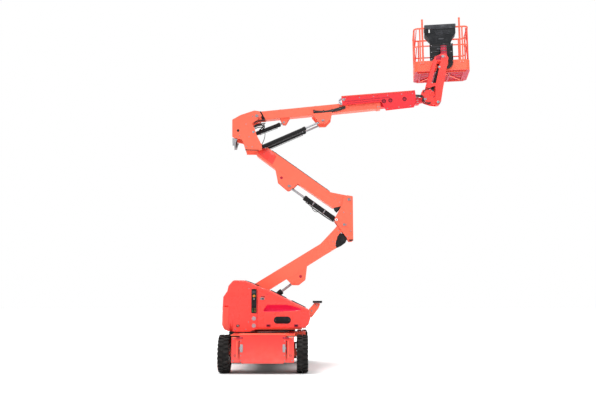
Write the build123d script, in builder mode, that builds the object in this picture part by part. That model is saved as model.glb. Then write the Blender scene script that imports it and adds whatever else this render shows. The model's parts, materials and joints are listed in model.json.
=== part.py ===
from build123d import *
import math
import os

# Articulating boom lift: a four-wheeled chassis, a slewing turret, a folding two-arm riser, a
# telescopic main boom, a short jib and a rotating platform.  Millimetres, +Z up.
# +X is the way the boom points, Y runs along the chassis, and the slewing axis is X = 0, Y = 0.
# All pieces are drawn with the riser half raised, the boom near level and the jib up.
# At the end everything is moved so that the middle of the machine's box is the origin.

# ---------------------------------------------------------------- running gear
TRACK_HALF = 775
WHEELBASE_HALF = 1000
TYRE_R = 372
TYRE_W = 225
RIM_R = 200
RIM_W = 190
SPINDLE_R = 45
PIN_GAP = 0.08            # radial clearance of every pin in its bore
SEAT_GAP = 0.3            # faces that slide on each other
KING_X = 585              # kingpin axis
KING_R = 22
EYE_HEIGHT = 120
LUG_T = 30
STEER_ARM = 190
ROD_R = 12

# ---------------------------------------------------------------- chassis
FRAME_HALF = 400
FRAME_BOTTOM = 300
FRAME_TOP = 740
FRAME_WALL = 10
END_OVERHANG = 350        # end plates beyond the axles
CHASSIS_HALF = WHEELBASE_HALF + END_OVERHANG
END_T = 14
END_HALF = 446
END_BOTTOM = 210
END_TOP = 770
DECK_T = 12
DECK_HALF = 630
DECK_NARROW = 440
DECK_WIDE_TO = 520

# ---------------------------------------------------------------- turret
RING_R = 480
RING_H = 26
BASE_BOTTOM = 830
BASE_TOP = 850
BASE_HALF = 705
HOOD_HALF = 720
HOOD_WALL = 5
SPINE_T = 16
TAIL_X = -742             # front of the counterweight slab
POST_REAR = -285
POST_FRONT = -155
ARM_HALF = 90             # half width of both riser arms
ARM_PLAY = 8              # from an arm's side to the plates beside it
SPINE_IN = ARM_HALF + ARM_PLAY         # inner faces of the two tall spine plates
HINGE_Y = SPINE_IN + SPINE_T + 8       # outer hood hinge plates
HOOD_INNER = SPINE_IN + SPINE_T + 16   # the hoods stand clear of the spine

# ---------------------------------------------------------------- riser, boom and jib joints (X, Z)
PIVOT_A = (-650, 1600)    # lower arm on the turret
PIVOT_B = (1701, 3058)    # lower arm to middle knuckle
PIVOT_C = (1808, 3617)    # middle knuckle to upper arm
PIVOT_D = (-175, 4768)    # upper arm to upper knuckle
PIVOT_E = (-234, 5488)    # main boom on the upper knuckle
LIFT_BASE = (-350, 1100)
LIFT_EYE = (589, 1800)
FOLD_BASE = (1531, 3168)
FOLD_EYE = (487, 3922)
BOOM_EYE = (1237, 5394)
LEVEL_BASE = (-304, 5119)
LEVEL_EYE = (370, 5387)
PIN_R = 30                # arm pins
CYL_PIN_R = 20            # cylinder pins
BORE_START = 75           # bottom of every cylinder's bore, from its base pin
KNUCKLE_T = 16
TWIN_Y = ARM_HALF + 60    # the two boom cylinders straddle the upper arm
TWIN_EYE_HALF = 20        # half width of their eyes
TWIN_LUG_T = 12           # boom lug plates on both sides of each eye
TWIN_LUG_GAP = 8
UPPER_IN = TWIN_Y + 60    # inner faces of the upper knuckle's plates
UPPER_T = 15
BOOM_START = (0, 5545)    # a point on the boom's centre line
BOOM_ANGLE = math.degrees(math.atan2(0.1025, 1))
BOOM_HALF = 100
BOOM_WALL = 8
COLLAR_T = 12             # collar round the base boom's front end
BOOM_REAR = -335
BOOM_FRONT = 2560
FLY_HALF = 78
FLY_WALL = 6
FLY_REAR = 760
FLY_FRONT = 3440
TIP = (3560, 5925)        # fly tip to jib knuckle
JIB_PIVOT = (3857, 5850)
JIB_TOP = (4000, 6930)
JIB_BASE = (3915, 6680)   # jib cylinder on the jib
JIB_EYE = (3720, 6060)    # jib cylinder on the knuckle

# ---------------------------------------------------------------- platform
ROTATE_X = 4045
PLATFORM_TURN = -8        # the platform stands turned this many degrees on its rotator
CAGE_MID = 4010           # middle of the platform's length, before it is turned
CAGE_HALF = 615           # half of the platform's length
CAGE_NEAR = 170           # near side of the cage from the rotator's axis
CAGE_DEPTH = 760
FLOOR_Z = 6650
MID_RAIL = 7300
TOP_RAIL = 7740
POST_TOP = 7960           # the two tall posts
KICK_TOP = 6930
BEARER_H = 30
FLOOR_T = 6
TUBE_R = 19               # top rail
POST_R = 17
TALL_POST_R = 22
MID_R = 15

pieces = {}


def side(y=0):
    """A plane seen from the side, X to the right and Z up, at one Y; it faces -Y."""
    return Plane(origin=(0, y, 0), x_dir=(1, 0, 0), z_dir=(0, -1, 0))


def along(start, angle, y=0):
    """A side plane whose X runs up a slope from a point given as (X, Z)."""
    slope = math.radians(angle)
    x_dir = (math.cos(slope), 0, math.sin(slope))
    return Plane(origin=(start[0], y, start[1]), x_dir=x_dir, z_dir=(0, -1, 0))


def outline(plane, points, radii=None):
    """A closed face through the points; radii rounds its corners, one number for all or one each."""
    if not isinstance(radii, list):
        radii = [radii or 0] * len(points)
    with BuildSketch(plane) as sketch:
        with BuildLine():
            Polyline(*points, close=True)
        make_face()
        for point, radius in zip(points, radii):
            if radius:
                fillet(vertices().sort_by_distance(Vector(point[0], point[1], 0))[0], radius)
    return sketch.sketch


def disc(plane, center, radius):
    """A round face at a point of the plane."""
    with BuildSketch(plane) as sketch:
        with Locations(center):
            Circle(radius)
    return sketch.sketch


def slab(plane_at, points, inner, outer, radius=0):
    """Two equal plates, one on each side of the middle plane, between two distances from it."""
    with BuildPart() as pair:
        extrude(outline(plane_at(-inner), points, radius), amount=outer - inner)
        extrude(outline(plane_at(outer), points, radius), amount=outer - inner)
    return pair.part


def bar(plane, center, radius, half):
    """A round bar across the middle plane."""
    with BuildPart() as round_bar:
        extrude(disc(plane, center, radius), amount=half, both=True)
    return round_bar.part


def slope_of(start, end):
    """The angle of the line from one (X, Z) point to another."""
    return math.degrees(math.atan2(end[1] - start[1], end[0] - start[0]))


def reach(start, end):
    """The distance between two (X, Z) points."""
    return math.hypot(end[0] - start[0], end[1] - start[1])


# ================================================================ chassis
with BuildPart() as chassis_frame:
    with BuildSketch(Plane.XZ.offset(-(CHASSIS_HALF - END_T))):
        with Locations((0, (FRAME_BOTTOM + FRAME_TOP) / 2)):
            Rectangle(2 * FRAME_HALF, FRAME_TOP - FRAME_BOTTOM)
            Rectangle(2 * (FRAME_HALF - FRAME_WALL), FRAME_TOP - FRAME_BOTTOM - 2 * FRAME_WALL,
                      mode=Mode.SUBTRACT)
    extrude(amount=2 * (CHASSIS_HALF - END_T))
pieces["chassis_frame"] = chassis_frame

deck_points = [
    (-DECK_HALF, END_T - CHASSIS_HALF),
    (DECK_HALF, END_T - CHASSIS_HALF),
    (DECK_HALF, DECK_WIDE_TO),
    (DECK_NARROW, DECK_WIDE_TO + 120),
    (DECK_NARROW, CHASSIS_HALF - END_T),
    (-DECK_NARROW, CHASSIS_HALF - END_T),
    (-DECK_NARROW, DECK_WIDE_TO + 120),
    (-DECK_HALF, DECK_WIDE_TO),
]
with BuildPart() as deck:
    extrude(outline(Plane.XY.offset(FRAME_TOP), deck_points), amount=DECK_T)
pieces["deck"] = deck

end_points = [
    (-END_HALF, END_BOTTOM + 45),
    (45 - END_HALF, END_BOTTOM),
    (END_HALF - 45, END_BOTTOM),
    (END_HALF, END_BOTTOM + 45),
    (END_HALF, END_TOP),
    (-END_HALF, END_TOP),
]
TIE_X = 420               # tie-down holes
TIE_Z = 500
TIE_R = 16
WING_IN = 438
WING_OUT = 612
WING_LOW = 225
WING_HIGH = 715
with BuildPart() as end_plates:
    for face_y in (END_T - CHASSIS_HALF, CHASSIS_HALF):
        extrude(outline(side(face_y), end_points), amount=END_T)
        for sign in (-1, 1):
            extrude(disc(side(face_y), (sign * TIE_X, TIE_Z), TIE_R), amount=END_T, mode=Mode.SUBTRACT)
    # at the driven end a folded wing reaches from the plate to each wheel, with a tall slot in it
    for sign in (-1, 1):
        with BuildSketch(side(END_T - CHASSIS_HALF)):
            with Locations((sign * (WING_IN + WING_OUT) / 2, (WING_LOW + WING_HIGH) / 2)):
                Rectangle(WING_OUT - WING_IN, WING_HIGH - WING_LOW)
            with Locations((sign * (END_HALF + 16), (WING_LOW + WING_HIGH) / 2)):
                Rectangle(18, WING_HIGH - WING_LOW - 150, mode=Mode.SUBTRACT)
        extrude(amount=-END_T)
        with Locations((sign * (WING_OUT - 6), END_T - CHASSIS_HALF + 45, (WING_LOW + WING_HIGH) / 2)):
            Box(12, 90, WING_HIGH - WING_LOW)
pieces["end_plates"] = end_plates

# drive axle: a motor housing on each side of the frame with its spindle
DRIVE_OUT = 600
with BuildPart() as drive_axle:
    for sign in (-1, 1):
        with BuildSketch(side(140 - WHEELBASE_HALF)):
            with Locations((sign * (FRAME_HALF + DRIVE_OUT) / 2, TYRE_R + 60)):
                Rectangle(DRIVE_OUT - FRAME_HALF, 340)
                chamfer(vertices(), 22)
        extrude(amount=280)
        with BuildSketch(Plane.YZ.offset(sign * DRIVE_OUT)):
            with Locations((-WHEELBASE_HALF, TYRE_R)):
                Circle(95)
        extrude(amount=sign * 60)
        with BuildSketch(Plane.YZ.offset(sign * (DRIVE_OUT + 60))):
            with Locations((-WHEELBASE_HALF, TYRE_R)):
                Circle(SPINDLE_R)
        extrude(amount=sign * (TRACK_HALF + 50 - DRIVE_OUT - 60))
pieces["drive_axle"] = drive_axle

# steering axle: a stub with a kingpin eye on each side
with BuildPart() as steer_axle:
    for sign in (-1, 1):
        with BuildSketch(Plane.XY.offset(TYRE_R - EYE_HEIGHT / 2)):
            with Locations((sign * (FRAME_HALF + KING_X) / 2, WHEELBASE_HALF)):
                Rectangle(KING_X - FRAME_HALF, 100)
            with Locations((sign * KING_X, WHEELBASE_HALF)):
                Circle(50)
                Circle(KING_R + PIN_GAP, mode=Mode.SUBTRACT)
        extrude(amount=EYE_HEIGHT)
pieces["steer_axle"] = steer_axle

LUG_GAP = 0.5
lug_low = TYRE_R - EYE_HEIGHT / 2 - LUG_GAP - LUG_T
lug_high = TYRE_R + EYE_HEIGHT / 2 + LUG_GAP
FORK_IN = 648
FORK_OUT = 668
rod_z = lug_low - SEAT_GAP - ROD_R
rod_y = WHEELBASE_HALF - STEER_ARM
for name, sign in (("left", -1), ("right", 1)):
    with BuildPart() as knuckle:
        for level in (lug_low, lug_high):
            with BuildSketch(Plane.XY.offset(level)):
                with Locations((sign * (KING_X + FORK_OUT) / 2, WHEELBASE_HALF)):
                    Rectangle(FORK_OUT - KING_X, 100)
                with Locations((sign * KING_X, WHEELBASE_HALF)):
                    Circle(50)
            extrude(amount=LUG_T)
        with BuildSketch(Plane.XY.offset(lug_low)):
            with Locations((sign * KING_X, WHEELBASE_HALF - STEER_ARM / 2)):
                Rectangle(44, STEER_ARM)
            with Locations((sign * KING_X, rod_y)):
                Circle(30)
        extrude(amount=LUG_T / 2)
        with BuildSketch(Plane.XY.offset(lug_low)):
            with Locations((sign * (FORK_IN + FORK_OUT) / 2, WHEELBASE_HALF)):
                Rectangle(FORK_OUT - FORK_IN, 100)
        extrude(amount=lug_high + LUG_T - lug_low)
        with BuildSketch(Plane.XY.offset(lug_low)):
            with Locations((sign * KING_X, WHEELBASE_HALF)):
                Circle(KING_R)
        extrude(amount=lug_high + LUG_T - lug_low)
        with BuildSketch(Plane.YZ.offset(sign * FORK_OUT)):
            with Locations((WHEELBASE_HALF, TYRE_R)):
                Circle(SPINDLE_R)
        extrude(amount=sign * (TRACK_HALF + 50 - FORK_OUT))
    pieces["steering_knuckle_" + name] = knuckle

# through-rod steering cylinder under the frame
with BuildPart() as steering_cylinder:
    with BuildSketch(Plane.YZ.offset(-170)):
        with Locations((rod_y, rod_z)):
            Circle(27)
    extrude(amount=340)
    for mount_x in (-120, 120):
        with Locations((mount_x, rod_y, (rod_z + FRAME_BOTTOM) / 2)):
            Box(50, 40, FRAME_BOTTOM - rod_z)
    with BuildSketch(Plane.YZ.offset(-170)):
        with Locations((rod_y, rod_z)):
            Circle(ROD_R + PIN_GAP)
    extrude(amount=340, mode=Mode.SUBTRACT)
pieces["steering_cylinder"] = steering_cylinder

with BuildPart() as track_rod:
    with BuildSketch(Plane.YZ.offset(-KING_X)):
        with Locations((rod_y, rod_z)):
            Circle(ROD_R)
    extrude(amount=2 * KING_X)
    for sign in (-1, 1):
        with BuildSketch(Plane.XY.offset(rod_z - ROD_R)):
            with Locations((sign * KING_X, rod_y)):
                Circle(26)
        extrude(amount=2 * ROD_R)
pieces["track_rod"] = track_rod

# wheels: (name, sign of X, sign of Y)
wheel_table = [
    ("rear_left", -1, -1),
    ("rear_right", 1, -1),
    ("front_left", -1, 1),
    ("front_right", 1, 1),
]
DISH_IN = 18
DISH_OUT = 32
for name, x_sign, y_sign in wheel_table:
    centre = (x_sign * TRACK_HALF, y_sign * WHEELBASE_HALF, TYRE_R)
    section = Plane(origin=centre, x_dir=(x_sign, 0, 0), z_dir=(0, -x_sign, 0))
    spin = Axis(centre, (1, 0, 0))
    with BuildPart() as tyre:
        with BuildSketch(section):
            with Locations((0, (RIM_R + SEAT_GAP + TYRE_R) / 2)):
                RectangleRounded(TYRE_W, TYRE_R - RIM_R - SEAT_GAP, 38)
        revolve(axis=spin)
    pieces["tyre_" + name] = tyre
    with BuildPart() as rim:
        with BuildSketch(section):
            with Locations((0, RIM_R - 5)):
                Rectangle(RIM_W, 10)
            with Locations(((DISH_IN + DISH_OUT) / 2, (RIM_R + SPINDLE_R) / 2)):
                Rectangle(DISH_OUT - DISH_IN, RIM_R - SPINDLE_R - 1)
            with Locations((-5, 70)):
                Rectangle(110, 45 + 5)
            with Locations((-5, (SPINDLE_R + PIN_GAP) / 2)):
                Rectangle(112, SPINDLE_R + PIN_GAP, mode=Mode.SUBTRACT)
            with Locations((62, 40)):
                Rectangle(24, 80)
        revolve(axis=spin)
    pieces["rim_" + name] = rim

# step box between the wheels on the right side, with a rubber nosing
with BuildPart() as side_step:
    with Locations((DECK_HALF + 110, 0, 705)):
        Box(220, 560, 90)
        Box(210, 548, 80, mode=Mode.SUBTRACT)
    with Locations((DECK_HALF - 115, 0, 690)):
        Box(230, 60, 100)
pieces["side_step"] = side_step
with BuildPart() as step_nosing:
    with Locations((DECK_HALF + 220 + 20, 0, 705)):
        Box(40, 560, 90)
        fillet(edges().filter_by(Axis.Y).group_by(Axis.X)[-1], 12)
pieces["step_nosing"] = step_nosing

with BuildPart() as slew_ring:
    with BuildSketch(Plane.XY.offset(FRAME_TOP + DECK_T)):
        Circle(RING_R)
        Circle(RING_R - 90, mode=Mode.SUBTRACT)
    extrude(amount=RING_H)
pieces["slew_ring"] = slew_ring

# ================================================================ turret
flange_z = FRAME_TOP + DECK_T + RING_H + SEAT_GAP
spine_points = [
    (TAIL_X, BASE_TOP),
    (860, BASE_TOP),
    (860, 1235),
    (600, 1376),
    (104, 1618),
    (-180, 1690),
    (-520, 1735),
    (-690, 1735),
    (TAIL_X, 1690),
]
with BuildPart() as turret_frame:
    with BuildSketch(Plane.XY.offset(flange_z)):
        Circle(RING_R + 25)
        Circle(RING_R - 90, mode=Mode.SUBTRACT)
    extrude(amount=BASE_BOTTOM - flange_z)
    with BuildSketch(Plane.XY.offset(BASE_BOTTOM)):
        with Locations(((TAIL_X + 770) / 2, 0)):
            Rectangle(770 - TAIL_X, 2 * BASE_HALF)
        with Locations(((770 + 860) / 2 - 2, 0)):
            Rectangle(94, 2 * (SPINE_IN + SPINE_T))
        with Locations(((TAIL_X + POST_FRONT) / 2, 0)):
            Rectangle(POST_FRONT - TAIL_X, 2 * (HOOD_HALF - HOOD_WALL - SEAT_GAP))
    extrude(amount=BASE_TOP - BASE_BOTTOM)
    add(slab(side, spine_points, SPINE_IN, SPINE_IN + SPINE_T, 30))
    with Locations((850, 0, (BASE_TOP + 1180) / 2)):
        Box(16, 2 * SPINE_IN, 1180 - BASE_TOP)
    with Locations((TAIL_X + 8, 0, (BASE_TOP + 1280) / 2)):
        Box(16, 2 * SPINE_IN, 1280 - BASE_TOP)
    add(bar(side(), PIVOT_A, PIN_R, SPINE_IN + SPINE_T + 6))
    add(bar(side(), LIFT_BASE, CYL_PIN_R, SPINE_IN + SPINE_T + 4))
pieces["turret_frame"] = turret_frame

tail_points = [
    (TAIL_X, 795),
    (-824, 830),
    (-880, 930),
    (-874, 1285),
    (TAIL_X, 1285),
]
with BuildPart() as counterweight:
    extrude(outline(side(), tail_points), amount=HOOD_HALF, both=True)
    fillet(edges().filter_by(Axis.Z, tolerance=3).group_by(Axis.X)[0], 60)
    for sign in (-1, 1):
        with Locations((TAIL_X + 100, sign * 400, 1060)):
            Box(200, 500, 400)
pieces["counterweight"] = counterweight


def free_edges(skin, seams):
    """The outer skin's upper edges, without those along a seam at one X or along the bottom."""
    kept = skin.edges().filter_by(lambda edge: edge.center().Z > 880)
    for seam in seams:
        kept = kept.filter_by(lambda edge: abs(edge.center().X - seam) > 1.5)
    return kept


def hood(points, radius, sign, floor_from, floor_to, edge_r, seams, thin=HOOD_WALL):
    """One half hood: a shell over the outline, open underneath and towards the arms."""
    with BuildPart() as shell:
        with BuildSketch(side(sign * HOOD_INNER)):
            add(outline(side(sign * HOOD_INNER), points, radius))
        extrude(amount=-sign * (HOOD_HALF - HOOD_INNER))
        skin = shell.faces().sort_by(Axis.Y)[0 if sign < 0 else -1]
        fillet(free_edges(skin, seams), edge_r)
    with BuildPart() as core:
        inner_face = offset(outline(side(sign * (HOOD_INNER - 1)), points, radius), amount=-thin)
        extrude(inner_face, amount=-sign * (HOOD_HALF - HOOD_INNER + 1 - thin))
        skin = core.faces().sort_by(Axis.Y)[0 if sign < 0 else -1]
        fillet(free_edges(skin, [seam + shift for seam in seams for shift in (-thin, thin)]), edge_r - thin)
        depth = HOOD_HALF - thin - HOOD_INNER + 1
        with Locations(((floor_from + floor_to) / 2, sign * (HOOD_INNER - 1 + depth / 2), 820)):
            Box(floor_to - floor_from, depth, 90)
    with BuildPart() as half:
        add(shell.part)
        add(core.part, mode=Mode.SUBTRACT)
    return half.part


rear_points = [
    (POST_REAR, 785),
    (-660, 785),
    (TAIL_X, 800),
    (TAIL_X, 1285),
    (-872, 1285),
    (-864, 1490),
    (-782, 1610),
    (-760, 1720),
    (-660, 1834),
    (-440, 1832),
    (POST_REAR, 1774),
]
rear_radii = [0, 20, 0, 0, 0, 30, 30, 40, 60, 90, 0]
lid_points = [
    (POST_FRONT + 5, 835),
    (795, 842),
    (903, 925),
    (948, 1065),
    (925, 1215),
    (847, 1262),
    (599, 1380),
    (104, 1622),
    (POST_FRONT + 5, 1712),
]
lid_radii = [0, 50, 60, 60, 40, 40, 200, 200, 0]
post_points = [
    (POST_REAR, 800),
    (POST_FRONT, 835),
    (POST_FRONT, 1712),
    (POST_REAR, 1774),
]
# each side hood turns on three hinges along its sloping inner edge
HINGE_START = (104, 1619.5)
HINGE_END = (599, 1377.5)
HINGE_R = 7.6
HINGE_PIN_R = 4
HINGE_LENGTH = 120
TUBE_FROM = 25            # the hood's tube within each hinge
TUBE_LENGTH = 70
hinge_slope = slope_of(HINGE_START, HINGE_END)
hinge_starts = [20, 260, 500]


def hinge_section(sign, distance):
    """The plane square to the hinge line at a distance along it."""
    plane = along(HINGE_START, hinge_slope, sign * HINGE_Y)
    return Plane(origin=plane.from_local_coords((distance, 0, 0)), x_dir=(0, 1, 0), z_dir=plane.x_dir)


for name, sign in (("near", -1), ("far", 1)):
    with BuildPart() as rear_hood:
        add(hood(rear_points, rear_radii, sign, TAIL_X - 1, POST_REAR + 1, 32, [POST_REAR, TAIL_X]))
        with Locations((TAIL_X, sign * 400, 1060)):
            Box(20, 500 + 2 * SEAT_GAP, 400 + 2 * SEAT_GAP, mode=Mode.SUBTRACT)
    pieces["rear_hood_" + name] = rear_hood
    with BuildPart() as panel_post:
        add(hood(post_points, 0, sign, POST_REAR - 1, POST_FRONT + 1, 32, [POST_REAR, POST_FRONT]))
    pieces["panel_post_" + name] = panel_post
    with BuildPart() as side_hood:
        add(hood(lid_points, lid_radii, sign, POST_FRONT + 4, 790, 32, [POST_FRONT + 5]))
        # the wall beside the post is a narrow flange, so the batteries clear it as the hood opens
        with Locations((POST_FRONT + 5, sign * (HOOD_INNER + HOOD_HALF - 50) / 2, 1245)):
            Box(4 * HOOD_WALL, HOOD_HALF - 30 - HOOD_INNER, 790, mode=Mode.SUBTRACT)
        for start in hinge_starts:
            with BuildSketch(hinge_section(sign, start + TUBE_FROM)):
                Circle(HINGE_R)
                with Locations((sign * 9, 0)):
                    Rectangle(12, 4)
                Circle(HINGE_PIN_R + PIN_GAP, mode=Mode.SUBTRACT)
            extrude(amount=TUBE_LENGTH)
    pieces["side_hood_" + name] = side_hood

with BuildPart() as hood_hinges:
    for sign in (-1, 1):
        for start in hinge_starts:
            with BuildSketch(hinge_section(sign, start)):
                Circle(HINGE_PIN_R)
            extrude(amount=HINGE_LENGTH)
            with BuildSketch(hinge_section(sign, start)):
                Circle(HINGE_R)
            extrude(amount=TUBE_FROM - SEAT_GAP)
            with BuildSketch(hinge_section(sign, start + TUBE_FROM + TUBE_LENGTH + SEAT_GAP)):
                Circle(HINGE_R)
            extrude(amount=HINGE_LENGTH - TUBE_FROM - TUBE_LENGTH - SEAT_GAP)
pieces["hood_hinges"] = hood_hinges

with BuildPart() as battery_packs:
    for sign in (-1, 1):
        with Locations((200, sign * 410, BASE_TOP + 150)):
            Box(640, 440, 300)
pieces["battery_packs"] = battery_packs

with BuildPart() as control_panel:
    with Locations(((POST_REAR + POST_FRONT) / 2, -HOOD_HALF - 5, 1405)):
        Box(104, 10, 490)
        fillet(edges().filter_by(Axis.Y), 8)
    for level in (1050, 905):
        with BuildSketch(side(-HOOD_HALF)):
            with Locations(((POST_REAR + POST_FRONT) / 2, level)):
                Circle(42)
        extrude(amount=12)
pieces["control_panel"] = control_panel

post_outline = [
    (858, 1150),
    (858, 1020),
    (905, 1060),
    (1150, 1340),
    (1150, 1365),
    (1050, 1365),
]
with BuildPart() as rest_post:
    extrude(outline(side(), post_outline), amount=45, both=True)
pieces["rest_post"] = rest_post
with BuildPart() as rest_pad:
    with Locations((1110, 0, 1385)):
        Box(200, 200, 40)
        fillet(edges().filter_by(Axis.Z), 15)
pieces["rest_pad"] = rest_pad

# ================================================================ riser: lower arm
lower_points = [
    (-770, 1560),
    (-720, 1480),
    (-350, 1400),
    (97, 1660),
    (437, 1872),
    (563, 1741),
    (705, 1741),
    (850, 1855),
    (885, 2151),
    (1273, 2393),
    (1529, 2547),
    (1510, 2680),
    (1600, 2860),
    (1815, 3020),
    (1800, 3110),
    (1700, 3168),
    (1610, 3110),
    (1487, 2965),
    (1176, 2636),
    (-226, 1784),
    (-380, 1725),
    (-690, 1715),
]
lower_radii = [60, 60, 60, 80, 20, 40, 40, 40, 20, 60, 12, 60, 60, 40, 60, 60, 60, 60, 60, 80, 60, 60]
ARM_WALL = 10
PLATE_T = 14
with BuildPart() as lower_arm:
    extrude(outline(side(), lower_points, lower_radii), amount=ARM_HALF, both=True)
    # the beam is hollow: one long cell, open at the lug where the cylinder enters
    with BuildSketch(side()):
        add(offset(outline(side(), [
            (-560, 1455), (-350, 1405), (97, 1665), (1273, 2398), (1500, 2560), (1490, 2680), (1440, 2880),
            (1176, 2631), (-226, 1779), (-540, 1690),
        ]), amount=-ARM_WALL))
    extrude(amount=ARM_HALF - PLATE_T, both=True, mode=Mode.SUBTRACT)
    with BuildSketch(side()):
        add(outline(side(), [(400, 1830), (540, 1690), (760, 1690), (900, 1830), (905, 2150), (440, 1866)]))
    extrude(amount=ARM_HALF - PLATE_T, both=True, mode=Mode.SUBTRACT)
    for pivot in (PIVOT_A, PIVOT_B):
        extrude(disc(side(), pivot, PIN_R + PIN_GAP), amount=ARM_HALF + 1, both=True, mode=Mode.SUBTRACT)
    for sign in (-1, 1):
        extrude(disc(side(sign * ARM_HALF), LIFT_EYE, CYL_PIN_R), amount=-sign * 6)
pieces["lower_arm"] = lower_arm


def cylinder_pair(base, eye, barrel_r, rod_r, barrel_end, rod_start, eye_half, y=0, base_r=42, eye_r=36,
                  bore=CYL_PIN_R):
    """A hydraulic cylinder from its base pin to its rod eye: its gland stops at barrel_end and its
    rod begins inside the barrel at rod_start, both measured from the base pin."""
    angle = slope_of(base, eye)
    length = reach(base, eye)
    plane = along(base, angle, y)
    barrel_start = 0.8 * base_r
    cross = Plane(origin=plane.from_local_coords((barrel_start, 0, 0)), z_dir=plane.x_dir)
    with BuildPart() as barrel:
        with BuildSketch(cross):
            Circle(barrel_r)
        extrude(amount=barrel_end - barrel_start)
        extrude(disc(plane, (0, 0), base_r), amount=eye_half, both=True)
        extrude(disc(plane, (0, 0), bore + PIN_GAP), amount=eye_half + 80, both=True, mode=Mode.SUBTRACT)
        with BuildSketch(Plane(origin=plane.from_local_coords((BORE_START, 0, 0)), z_dir=plane.x_dir)):
            Circle(rod_r + PIN_GAP)
        extrude(amount=barrel_end - BORE_START, mode=Mode.SUBTRACT)
    with BuildPart() as rod:
        with BuildSketch(Plane(origin=plane.from_local_coords((rod_start, 0, 0)), z_dir=plane.x_dir)):
            Circle(rod_r)
        extrude(amount=length - rod_start - eye_r * 0.6)
        extrude(disc(plane, (length, 0), eye_r), amount=eye_half, both=True)
        extrude(disc(plane, (length, 0), bore * 0.9), amount=eye_half + 1, both=True, mode=Mode.SUBTRACT)
    return barrel, rod


lift_barrel, lift_rod = cylinder_pair(LIFT_BASE, LIFT_EYE, 55, 26, 860, 360, 40)
pieces["lift_barrel"] = lift_barrel
pieces["lift_rod"] = lift_rod

# ================================================================ riser: middle knuckle and upper arm
middle_points = [
    (1898, 2702),
    (1806, 2692),
    (1500, 3130),
    (1490, 3190),
    (1671, 3526),
    (1690, 3690),
    (1780, 3712),
    (1900, 3692),
]
knuckle_in = ARM_HALF + ARM_PLAY
with BuildPart() as middle_knuckle:
    add(slab(side, middle_points, knuckle_in, knuckle_in + KNUCKLE_T, 24))
    for pivot in (PIVOT_B, PIVOT_C):
        add(bar(side(), pivot, PIN_R, knuckle_in + KNUCKLE_T + 5))
    add(bar(side(), FOLD_BASE, CYL_PIN_R, knuckle_in + KNUCKLE_T + 5))
pieces["middle_knuckle"] = middle_knuckle

upper_points = [
    (1453, 3431),
    (1560, 3452),
    (1830, 3520),
    (1905, 3600),
    (1880, 3690),
    (1760, 3712),
    (1410, 3783),
    (77, 4747),
    (-120, 4880),
    (-230, 4870),
    (-285, 4760),
    (-230, 4615),
    (182, 4304),
    (239, 4014),
    (467, 3819),
    (578, 3874),
    (679, 3975),
]
upper_radii = [20, 40, 60, 40, 40, 40, 60, 60, 60, 60, 60, 60, 40, 40, 40, 30, 12]
with BuildPart() as upper_arm:
    extrude(outline(side(), upper_points, upper_radii), amount=ARM_HALF, both=True)
    with BuildSketch(side()):
        add(offset(outline(side(), [
            (1453, 3438), (1620, 3480), (1640, 3735), (1410, 3778), (77, 4742), (-20, 4790), (-60, 4500),
            (182, 4330),
            (679, 3975),
        ]), amount=-ARM_WALL))
    extrude(amount=ARM_HALF - PLATE_T, both=True, mode=Mode.SUBTRACT)
    with BuildSketch(side()):
        add(outline(side(), [(190, 4290), (200, 4000), (467, 3780), (640, 3830), (730, 3925), (700, 4010)]))
    extrude(amount=ARM_HALF - PLATE_T, both=True, mode=Mode.SUBTRACT)
    for pivot in (PIVOT_C, PIVOT_D):
        extrude(disc(side(), pivot, PIN_R + PIN_GAP), amount=ARM_HALF + 1, both=True, mode=Mode.SUBTRACT)
    for sign in (-1, 1):
        extrude(disc(side(sign * ARM_HALF), FOLD_EYE, CYL_PIN_R), amount=-sign * 6)
pieces["upper_arm"] = upper_arm

fold_barrel, fold_rod = cylinder_pair(FOLD_BASE, FOLD_EYE, 55, 26, 870, 445, 40)
pieces["fold_barrel"] = fold_barrel
pieces["fold_rod"] = fold_rod

# ================================================================ upper knuckle
knuckle_points = [
    (-780, 5402),
    (-595, 5511),
    (-291, 5613),
    (-179, 5599),
    (-117, 5490),
    (-344, 5315),
    (-280, 5200),
    (-239, 5067),
    (-120, 4830),
    (-110, 4710),
    (-180, 4695),
    (-475, 4699),
    (-534, 4897),
    (-560, 4950),
    (-774, 5000),
]
knuckle_radii = [30, 40, 30, 30, 20, 30] + [20] * 9
with BuildPart() as upper_knuckle:
    add(slab(side, knuckle_points, UPPER_IN, UPPER_IN + UPPER_T, knuckle_radii))
    for pivot in (PIVOT_D, PIVOT_E):
        add(bar(side(), pivot, PIN_R, UPPER_IN + UPPER_T + 5))
    add(bar(side(), LEVEL_BASE, CYL_PIN_R, UPPER_IN + UPPER_T + 5))
    with Locations((-690, 0, 5200)):
        Box(14, 2 * UPPER_IN, 330)
    for sign in (-1, 1):
        extrude(disc(side(sign * UPPER_IN), PIVOT_E, 60), amount=sign * (UPPER_IN - BOOM_HALF - 8))
        extrude(disc(side(sign * UPPER_IN), PIVOT_D, 36), amount=sign * (UPPER_IN - TWIN_Y - 22))
pieces["upper_knuckle"] = upper_knuckle

with BuildPart() as knuckle_flap:
    with Locations((-697 - SEAT_GAP - 6, 0, 4955)):
        Box(12, 380, 210)
pieces["knuckle_flap"] = knuckle_flap

# ================================================================ main boom
boom_plane = along(BOOM_START, BOOM_ANGLE)


def boom_section(distance):
    """The plane square to the boom at a distance along it, its X across and its Y up the boom's side."""
    origin = boom_plane.from_local_coords((distance, 0, 0))
    return Plane(origin=origin, x_dir=(0, 1, 0), z_dir=boom_plane.x_dir)


def boom_side(y=0):
    """The boom's own side plane at one Y."""
    return along(BOOM_START, BOOM_ANGLE, y)


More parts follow.
